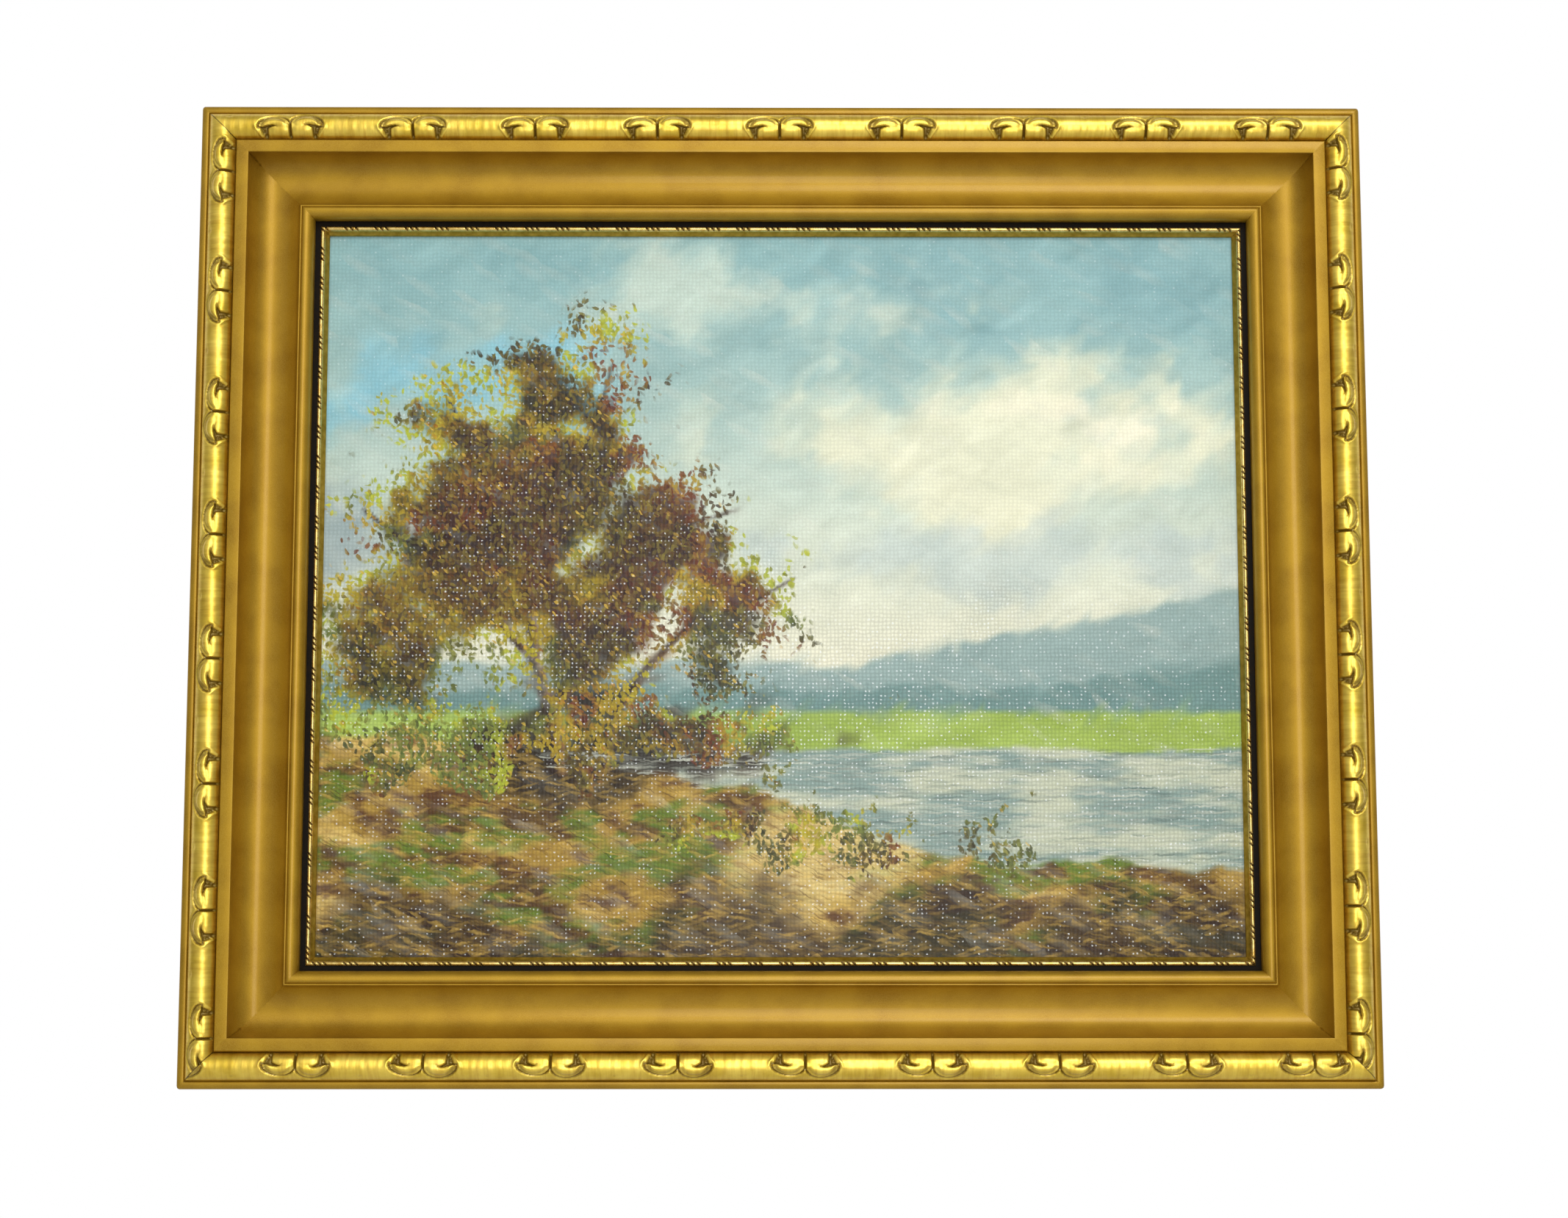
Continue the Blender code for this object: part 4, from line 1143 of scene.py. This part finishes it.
def varnished_paint():
    """Oil paint on coarse linen under varnish, which catches the light on single thread crossings, where
    painted highlights also lighten the colour; painted shade darkens the gaps between the threads.
    """
    made, tree, shader = new_finish("varnished_paint")
    knob, chance = woven(tree, THREAD_PITCH)
    still_place = object_place(tree)
    place = wavering(tree, still_place, 420.0, 2.0, 0.5, STROKE_SWAY)
    paint = attribute(tree, "paint_colour", "Color")

    def layer(under, shade, share, length, width, angle, edge, amount, light, dark, plain=0.1):
        """Strokes over the paint below, where the share allows, each a little lighter or darker."""
        cover, first, second, third = strokes(tree, place, length * MM, width * MM,
                                              math.radians(angle), edge)
        kept = scaled(tree, calc(tree, "SUBTRACT", share, first), 0.0, 0.08, 0.0, amount)
        tone = mixed(tree, second, mixed(tree, 1.0, shade, dark, "MULTIPLY"), light)
        tone = mixed(tree, scaled(tree, third, 0.0, 1.0, plain, 0.85 + 0.15 * plain), tone, shade)
        return mixed(tree, calc(tree, "MULTIPLY", cover, kept), under, tone)

    # Soft strokes all over
    paint = layer(paint, paint, 0.7, length=12.0, width=3.4, angle=28, edge=0.4, amount=0.3,
                  light=colour(228, 228, 214), dark=colour(215, 220, 222))
    # Level streaks on the water
    water = calc(tree, "MULTIPLY", attribute(tree, "water_share", "Fac"), 0.7)
    for length, width, angle in ((9.0, 0.8, 2), (14.0, 1.0, -2)):
        paint = layer(paint, paint, water, length, width, angle, edge=0.1, amount=0.7,
                      light=colour(226, 230, 214), dark=colour(160, 175, 178))
    # Slanting strokes on the bank, then thin dark ones
    ground = attribute(tree, "ground_share", "Fac")
    broad_ground = calc(tree, "MULTIPLY", ground, 0.6)
    for length, width, angle in ((7.0, 1.7, 24), (5.5, 1.2, -16), (8.0, 0.9, 9)):
        paint = layer(paint, paint, broad_ground, length, width, angle, edge=0.26, amount=0.55,
                      light=colour(236, 196, 96), dark=colour(130, 88, 60))
    paint = layer(paint, paint, calc(tree, "MULTIPLY", ground, 0.3), length=6.5, width=0.5, angle=30,
                  edge=0.07, amount=0.6, light=colour(120, 92, 48), dark=colour(90, 66, 60))
    # Leaves in four directions, then a few bright ones
    leaf = attribute(tree, "leaf_colour", "Color")
    leafy = attribute(tree, "leaf_share", "Fac")
    lit_leaf = mixed(tree, 0.38, leaf, colour(246, 234, 96))
    most_leaves = calc(tree, "MULTIPLY", leafy, 0.62)
    for length, width, angle, amount in ((3.4, 1.7, 62, 0.95), (3.0, 1.4, 118, 0.9), (2.6, 1.3, 15, 0.9),
                                         (2.3, 1.1, 85, 0.9)):
        paint = layer(paint, leaf, most_leaves, length, width, angle, edge=0.08, amount=amount,
                      light=lit_leaf, dark=colour(96, 66, 58), plain=0.3)
    paint = layer(paint, leaf, calc(tree, "MULTIPLY", leafy, 0.24), length=2.2, width=1.0, angle=40,
                  edge=0.08, amount=0.9, light=colour(244, 204, 84), dark=colour(214, 128, 60))
    # Grain of the ground coat, painted shade in the gaps between the threads, and painted highlights on
    # single crossings, which are glossier there too
    grain = noise_at(tree, still_place, 1500.0, 3.0)
    paint = mixed(tree, scaled(tree, grain, 0.3, 0.7, 0.0, 0.25), paint, colour(222, 222, 210), "MULTIPLY")
    glinting = attribute(tree, "glint_share", "Fac")
    # Painted shade between the threads, deeper where more crossings get painted highlights.
    gap_shade_depth = scaled(tree, glinting, 0.05, 0.3, 0.08, 0.26)
    gap_shade = calc(tree, "MULTIPLY", scaled(tree, knob, 0.1, 0.7, 1.0, 0.0), gap_shade_depth)
    paint = mixed(tree, gap_shade, paint, colour(96, 92, 86), "MULTIPLY")
    # Painted highlight: chosen crossings are lightened towards a pale blue-white.
    chosen = scaled(tree, calc(tree, "SUBTRACT", glinting, chance), 0.0, 0.3, 0.0, 1.0)
    glint = calc(tree, "MULTIPLY", scaled(tree, knob, 0.56, 0.86, 0.0, 1.0), chosen)
    paint = mixed(tree, calc(tree, "MULTIPLY", glint, 0.8), paint, colour(236, 242, 246))
    tree.links.new(paint, shader.inputs["Base Color"])
    tree.links.new(scaled(tree, glint, 0.0, 1.0, 0.5, 0.16), shader.inputs["Roughness"])
    shader.inputs["Specular IOR Level"].default_value = 0.2
    shader.inputs["Coat Weight"].default_value = 0.08
    shader.inputs["Coat Roughness"].default_value = 0.2
    relief = calc(tree, "ADD", knob, calc(tree, "MULTIPLY", grain, 0.5))
    bumped(tree, shader, relief, 0.1 * MM, 0.6)
    bumped(tree, shader, relief, 0.1 * MM, 0.4, "Coat Normal")
    return made


def raw_linen(name, pale, dark):
    """Unpainted linen with its weave."""
    made, tree, shader = new_finish(name)
    knob, chance = woven(tree, THREAD_PITCH)
    tone = mixed(tree, scaled(tree, knob, 0.1, 0.7, 0.0, 1.0), dark, pale)
    tone = mixed(tree, scaled(tree, chance, 0.0, 1.0, 0.0, 0.25), tone, dark)
    tree.links.new(tone, shader.inputs["Base Color"])
    shader.inputs["Roughness"].default_value = 0.85
    bumped(tree, shader, knob, 0.2 * MM, 0.8)
    return made


canvas, canvas_places, front_count, inner_faces = canvas_mesh()
shades = np.tile(linear_paint([206, 200, 186]), (len(canvas_places), 1))
front = canvas_places[:front_count]
shades[:front_count] = linear_paint(picked(picture, front[:, 0] / MM, front[:, 2] / MM))
colour_layer(canvas, "paint_colour", shades)
shown_x, shown_z = canvas_places[:, 0] / MM, canvas_places[:, 2] / MM
colour_layer(canvas, "leaf_colour", linear_paint(leaf_tone(shown_x, shown_z)))
share_layer(canvas, "leaf_share", shrub_share(shown_x, shown_z))
share_layer(canvas, "ground_share", ground_share(shown_x, shown_z))
share_layer(canvas, "water_share", water_share(shown_x, shown_z))
share_layer(canvas, "glint_share", glint_share(shown_x, shown_z))
canvas.materials.append(varnished_paint())
canvas.materials.append(raw_linen("primed_linen", colour(214, 208, 194), colour(180, 172, 156)))
canvas.materials.append(raw_linen("bare_linen", colour(176, 154, 118), colour(120, 100, 70)))
centres = np.array([p.center[:] for p in canvas.polygons])
finish_of = np.where(centres[:, 1] < CANVAS_FRONT_Y + 0.5 * MM, 0, 1)
finish_of[-inner_faces:] = 2
canvas.polygons.foreach_set("material_index", finish_of.astype(np.int32))
canvas_piece = as_piece("painted_picture", canvas)
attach(canvas_piece, "root")
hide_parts("painted_canvas")


# Stretcher bars
# Four planed pine bars, mitred and pressed together at the corners, that keep the canvas tight.
# Their shapes are those of the solids, so each takes only its wood here.
def pine(name, grain_scale):
    """Planed pine whose grain runs along one axis."""
    made, tree, shader = new_finish(name)
    place = drawn_out(tree, object_place(tree), grain_scale)
    lines = noise_at(tree, place, 520.0, 3.0)
    broad = noise_at(tree, place, 110.0, 2.0)
    tone = ramp(tree, lines, ((0.36, colour(196, 152, 92)), (0.62, colour(222, 186, 130))))
    tone = mixed(tree, scaled(tree, broad, 0.42, 0.62, 0.0, 0.5), tone, colour(186, 136, 78))
    tree.links.new(tone, shader.inputs["Base Color"])
    shader.inputs["Roughness"].default_value = 0.66
    bumped(tree, shader, lines, 0.08 * MM, 0.5)
    return made


def repaint(node_name, finish):
    """Gives a solid that stays as it is a finish of its own."""
    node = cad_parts[node_name]
    node.data.materials.clear()
    node.data.materials.append(finish)


pine_level = pine("pine_level", (0.07, 1.0, 1.0))
pine_upright = pine("pine_upright", (1.0, 1.0, 0.07))
for side in SIDES:
    wood = pine_level if side in ("top", "bottom") else pine_upright
    repaint(f"stretcher_bar_{side}", wood)


# Hanging strip
# A strip of zinc-plated sheet steel with a toothed lower edge for a nail in the wall to catch.
# Its middle is pressed to stand off the wood, and both ends are tacked to the back of the top rail.
def plated_steel():
    """Yellowish zinc on steel, a little cloudy."""
    made, tree, shader = new_finish("plated_steel")
    cloud = noise_at(tree, object_place(tree), 420.0, 3.0)
    tree.links.new(ramp(tree, cloud, ((0.3, colour(168, 164, 150)), (0.7, colour(204, 200, 184)))),
                   shader.inputs["Base Color"])
    tree.links.new(scaled(tree, cloud, 0.3, 0.7, 0.28, 0.44), shader.inputs["Roughness"])
    shader.inputs["Metallic"].default_value = 1.0
    bumped(tree, shader, cloud, 0.03 * MM, 0.4)
    return made


steel = plated_steel()
repaint("hanger_plate", steel)


# Staples, nails and tacks on the back
# Bright steel: staples through the canvas border, nails in the rebate over it, tacks that hold the strip.
# Each kind is one small shape repeated along the sides, every copy turned a little by hand.
BACK_OF_CANVAS = canvas_high.y
BORDER_H = RAIL_BACK_Y - BACK_OF_CANVAS
STAPLE_W = (FRAME_WIDTH - CANVAS_WIDTH) / 2 + 8.0 * MM
STAPLE_PITCH = 27.0 * MM
STAPLE_CLEAR = 10.0 * MM
STAPLE_HALF = 5.0 * MM
STAPLE_LEG = 2.4 * MM
STAPLE_THICKNESS = 0.54 * MM
STAPLE_WIDTH = 1.2 * MM
STAPLE_TURN = 0.3
NAIL_RADIUS = 0.4 * MM
NAIL_SUNK = 3.0 * MM
NAIL_SHOWN = 10.6 * MM
NAIL_HEAD_RADIUS = 0.84 * MM
NAIL_TILT = 5.5
NAIL_TURN = 0.12
TACK_SPACING = 36.4 * MM
TACK_SHANK = 0.9 * MM
TACK_SHANK_RADIUS = 0.7 * MM
TACK_HEAD_RADIUS = 1.9 * MM
TACK_HEAD_HEIGHT = 0.75 * MM
PLATE_END_Y = -1.4 * MM
TURN_SEED = 7


def ringed_mesh(name, rings):
    """A closed mesh from equal rings of points, its faces outward, all in one zone."""
    count = len(rings[0])
    faces = [tuple(range(count)), tuple(range(len(rings) * count - count, len(rings) * count))]
    for ring in range(len(rings) - 1):
        for k in range(count):
            after = (k + 1) % count
            low = ring * count
            faces.append((low + k, low + after, low + count + after, low + count + k))
    mesh = bpy.data.meshes.new(name)
    mesh.from_pydata([point for ring in rings for point in ring], [], faces)
    bm = bmesh.new()
    bm.from_mesh(mesh)
    bmesh.ops.recalc_face_normals(bm, faces=bm.faces)
    bm.to_mesh(mesh)
    bm.free()
    return mesh


def staple_tile():
    """One staple as (along, across, up): a flat wire bent down at both ends."""
    end = np.array(((STAPLE_HALF - 0.5 * MM, 0.0), (STAPLE_HALF - 0.15 * MM, 0.15 * MM),
                    (STAPLE_HALF, 0.45 * MM), (STAPLE_HALF, STAPLE_LEG)))
    line = np.concatenate([end[::-1] * (-1, 1), end]) + (0, BORDER_H - 0.28 * MM)
    ahead = np.gradient(line, axis=0)
    ahead /= np.linalg.norm(ahead, axis=1)[:, None]
    aside = np.stack([-ahead[:, 1], ahead[:, 0]], -1) * STAPLE_THICKNESS / 2
    half = STAPLE_WIDTH / 2
    corners = ((-1, -half), (-1, half), (1, half), (1, -half))
    rings = [[(s + a * sign, w, h + b * sign) for sign, w in corners] for (s, h), (a, b) in zip(line, aside)]
    return ringed_mesh("staple", rings)


def round_tile(name, stations, sides):
    """A turned shape: (place on its axis, radius) stations, its axis up."""
    turns = [2 * math.pi * k / sides for k in range(sides)]
    rings = [[(radius * math.cos(t), radius * math.sin(t), place) for t in turns]
             for place, radius in stations]
    return ringed_mesh(name, rings)


def fixing_tree():
    """A tree that sets copies of its own mesh along X, each turned a little at random, seed fixed."""
    more_inputs = (("Turn", "NodeSocketFloat"), ("Finish", "NodeSocketMaterial"))
    tree, entry, copies, ids = copying_tree("set_fixings", STAPLE_PITCH, more_inputs)
    nodes, links = tree.nodes, tree.links
    least = nodes.new("ShaderNodeMath")
    least.operation = "MULTIPLY"
    least.inputs[1].default_value = -1.0
    turn = nodes.new("FunctionNodeRandomValue")
    turn.data_type = "FLOAT"
    turn.inputs["Seed"].default_value = TURN_SEED
    about = nodes.new("ShaderNodeCombineXYZ")
    real = nodes.new("GeometryNodeRealizeInstances")
    coat = nodes.new("GeometryNodeSetMaterial")
    leave = nodes.new("NodeGroupOutput")
    links.new(entry.outputs["Turn"], least.inputs[0])
    # Sockets 2 and 3 are the least and the greatest number that it draws.
    links.new(least.outputs[0], turn.inputs[2])
    links.new(entry.outputs["Turn"], turn.inputs[3])
    links.new(turn.outputs[1], about.inputs["Z"])
    links.new(about.outputs[0], copies.inputs["Rotation"])
    links.new(copies.outputs[0], real.inputs[0])
    links.new(real.outputs[0], coat.inputs["Geometry"])
    links.new(entry.outputs["Finish"], coat.inputs["Material"])
    links.new(coat.outputs[0], leave.inputs[0])
    return tree, ids


fixings, fixing_ids = fixing_tree()


def set_along(tile, copies, pitch, start, turn, matrix):
    """Copies of a fixing along one line, moved to their place."""
    made = run_tree(tile, fixings, {fixing_ids["Copies"]: copies, fixing_ids["Pitch"]: pitch,
                                    fixing_ids["Start"]: start, fixing_ids["Turn"]: turn,
                                    fixing_ids["Finish"]: steel})
    made.transform(matrix)
    if matrix.determinant() < 0:
        made.flip_normals()
    return made


def fixing_piece(name, tile, meshes):
    """Joins meshes into one piece of steel that hangs on the frame."""
    bm = bmesh.new()
    for mesh in meshes:
        bm.from_mesh(mesh)
        bpy.data.meshes.remove(mesh)
    joined = bpy.data.meshes.new(name)
    joined.materials.append(steel)
    bm.to_mesh(joined)
    bm.free()
    bpy.data.meshes.remove(tile)
    made = as_piece(name, joined, 35)
    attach(made, "root")


staple = staple_tile()
staple_rows = []
for side in SIDES:
    between = side_length(side) - 2 * (STAPLE_W + STAPLE_CLEAR)
    copies = int(between / STAPLE_PITCH) + 1
    first = (side_length(side) - (copies - 1) * STAPLE_PITCH) / 2
    staple_rows.append(set_along(staple, copies, STAPLE_PITCH, (first, STAPLE_W, 0), STAPLE_TURN,
                                 side_matrix(side)))
fixing_piece("canvas_staples", staple, staple_rows)

nail_stations = ((-NAIL_SUNK, NAIL_RADIUS), (NAIL_SHOWN, NAIL_RADIUS),
                 (NAIL_SHOWN + 0.1 * MM, NAIL_HEAD_RADIUS), (NAIL_SHOWN + 0.6 * MM, NAIL_HEAD_RADIUS),
                 (NAIL_SHOWN + 0.8 * MM, 0.6 * NAIL_HEAD_RADIUS))
nail = round_tile("nail", nail_stations, 10)
nail.transform(Matrix.Rotation(math.radians(-90 - NAIL_TILT), 4, "X"))
nail_rows = []
for side in SIDES:
    start = (side_length(side) / 4, REBATE_W, BORDER_H - 0.1 * MM)
    nail_rows.append(set_along(nail, 2, side_length(side) / 2, start, NAIL_TURN, side_matrix(side)))
fixing_piece("rebate_nails", nail, nail_rows)

tack_stations = ((TACK_SHANK, TACK_SHANK_RADIUS), (-0.02 * MM, TACK_SHANK_RADIUS),
                 (-0.05 * MM, TACK_HEAD_RADIUS), (-0.35 * MM, TACK_HEAD_RADIUS - 0.15 * MM),
                 (-0.6 * MM, TACK_HEAD_RADIUS - 0.6 * MM), (-TACK_HEAD_HEIGHT, 0.6 * MM))
tack = round_tile("tack", tack_stations, 16)
to_plate = Matrix.Translation((0, PLATE_END_Y, 0)) @ Matrix.Rotation(math.radians(90), 4, "X")
tack_pair = set_along(tack, 2, TACK_SPACING, (-TACK_SPACING / 2, 0, 0), 0.0, to_plate)
fixing_piece("strip_tacks", tack, [tack_pair])


# Floor, light and camera
# A pale floor well below the picture, a soft light above and in front, and the photograph's view.
def floor_finish():
    """Matte pale grey, faintly clouded."""
    made, tree, shader = new_finish("pale_floor")
    cloud = noise_at(tree, object_place(tree), 6.0, 3.0)
    tree.links.new(ramp(tree, cloud, ((0.3, colour(206, 205, 202)), (0.7, colour(214, 213, 210)))),
                   shader.inputs["Base Color"])
    shader.inputs["Roughness"].default_value = 0.8
    return made


FLOOR_Z = -0.6
FLOOR_HALF = 2.0
FLOOR_MIDDLE_Y = -0.4
floor_mesh = bpy.data.meshes.new("floor")
floor_corners = [(x * FLOOR_HALF, y * FLOOR_HALF + FLOOR_MIDDLE_Y, FLOOR_Z)
                 for x, y in ((-1, -1), (1, -1), (1, 1), (-1, 1))]
floor_mesh.from_pydata(floor_corners, [], [(0, 1, 2, 3)])
floor_mesh.materials.append(floor_finish())
floor = bpy.data.objects.new("floor", floor_mesh)
bpy.context.scene.collection.objects.link(floor)


def grey(level):
    """A slightly warm grey."""
    return (level, 0.99 * level, 0.95 * level, 1)


def soft_surround():
    """White behind, as a lit wall would be. In front it is bright above, dim below and at the sides."""
    world = bpy.data.worlds.new("soft_surround")
    world.use_nodes = True
    tree = world.node_tree
    nodes, links = tree.nodes, tree.links
    nodes.clear()
    direction = nodes.new("ShaderNodeTexCoord").outputs["Generated"]
    split = nodes.new("ShaderNodeSeparateXYZ")
    links.new(direction, split.inputs[0])
    height = scaled(tree, split.outputs["Z"], -1.0, 1.0, 0.0, 1.0)
    # Brightness at heights from straight down (0) to straight up (1)
    levels = ((0.0, 0.05), (0.30, 0.08), (0.42, 0.24), (0.52, 0.54),
              (0.66, 0.82), (0.80, 0.95), (0.92, 0.42), (1.0, 0.16))
    level = ramp(tree, height, [(place, grey(amount)) for place, amount in levels])
    sideways = calc(tree, "ABSOLUTE", split.outputs["X"])
    front = mixed(tree, 1.0, level, scaled(tree, sideways, 0.4, 0.98, 1.0, 0.45), "MULTIPLY")
    behind = scaled(tree, split.outputs["Y"], -0.1, 0.25, 0.0, 1.0)
    shine = nodes.new("ShaderNodeBackground")
    links.new(mixed(tree, behind, front, grey(0.85)), shine.inputs["Color"])
    plain = nodes.new("ShaderNodeBackground")
    plain.inputs["Color"].default_value = (1, 1, 1, 1)
    seen = nodes.new("ShaderNodeLightPath").outputs["Is Camera Ray"]
    choose = nodes.new("ShaderNodeMixShader")
    links.new(seen, choose.inputs[0])
    links.new(shine.outputs[0], choose.inputs[1])
    links.new(plain.outputs[0], choose.inputs[2])
    leave = nodes.new("ShaderNodeOutputWorld")
    links.new(choose.outputs[0], leave.inputs["Surface"])
    bpy.context.scene.world = world


def soft_light(name, place, target, width, height, power):
    """A flat lamp turned towards a target, its power in watts."""
    data = bpy.data.lights.new(name, "AREA")
    data.shape = "RECTANGLE"
    data.size = width
    data.size_y = height
    data.energy = power
    lamp = bpy.data.objects.new(name, data)
    lamp.location = place
    lamp.rotation_euler = (Vector(target) - Vector(place)).to_track_quat("-Z", "Y").to_euler()
    bpy.context.scene.collection.objects.link(lamp)


soft_surround()
picture_middle = Vector((0, CANVAS_FRONT_Y, CANVAS_MIDDLE.z))
soft_light("front_light", (0.05, -0.95, -0.13), picture_middle, width=0.32, height=0.6, power=2.8)
soft_light("upper_light", (0.28, -1.1, 0.62), picture_middle, width=0.6, height=0.5, power=5.6)

CAMERA_PLACE = (-0.0031, -0.8239, -0.2394)
CAMERA_PITCH = math.radians(6.65)
CAMERA_YAW = math.radians(-0.287)
SENSOR_WIDTH = 36.0
LENS = 59.04
camera_data = bpy.data.cameras.new("camera")
camera_data.sensor_width = SENSOR_WIDTH
camera_data.lens = LENS
camera = bpy.data.objects.new("camera", camera_data)
camera.location = CAMERA_PLACE
camera.rotation_euler = (math.pi / 2 + CAMERA_PITCH, 0, CAMERA_YAW)
bpy.context.scene.collection.objects.link(camera)
bpy.context.scene.camera = camera
bpy.context.scene.view_settings.view_transform = "Standard"
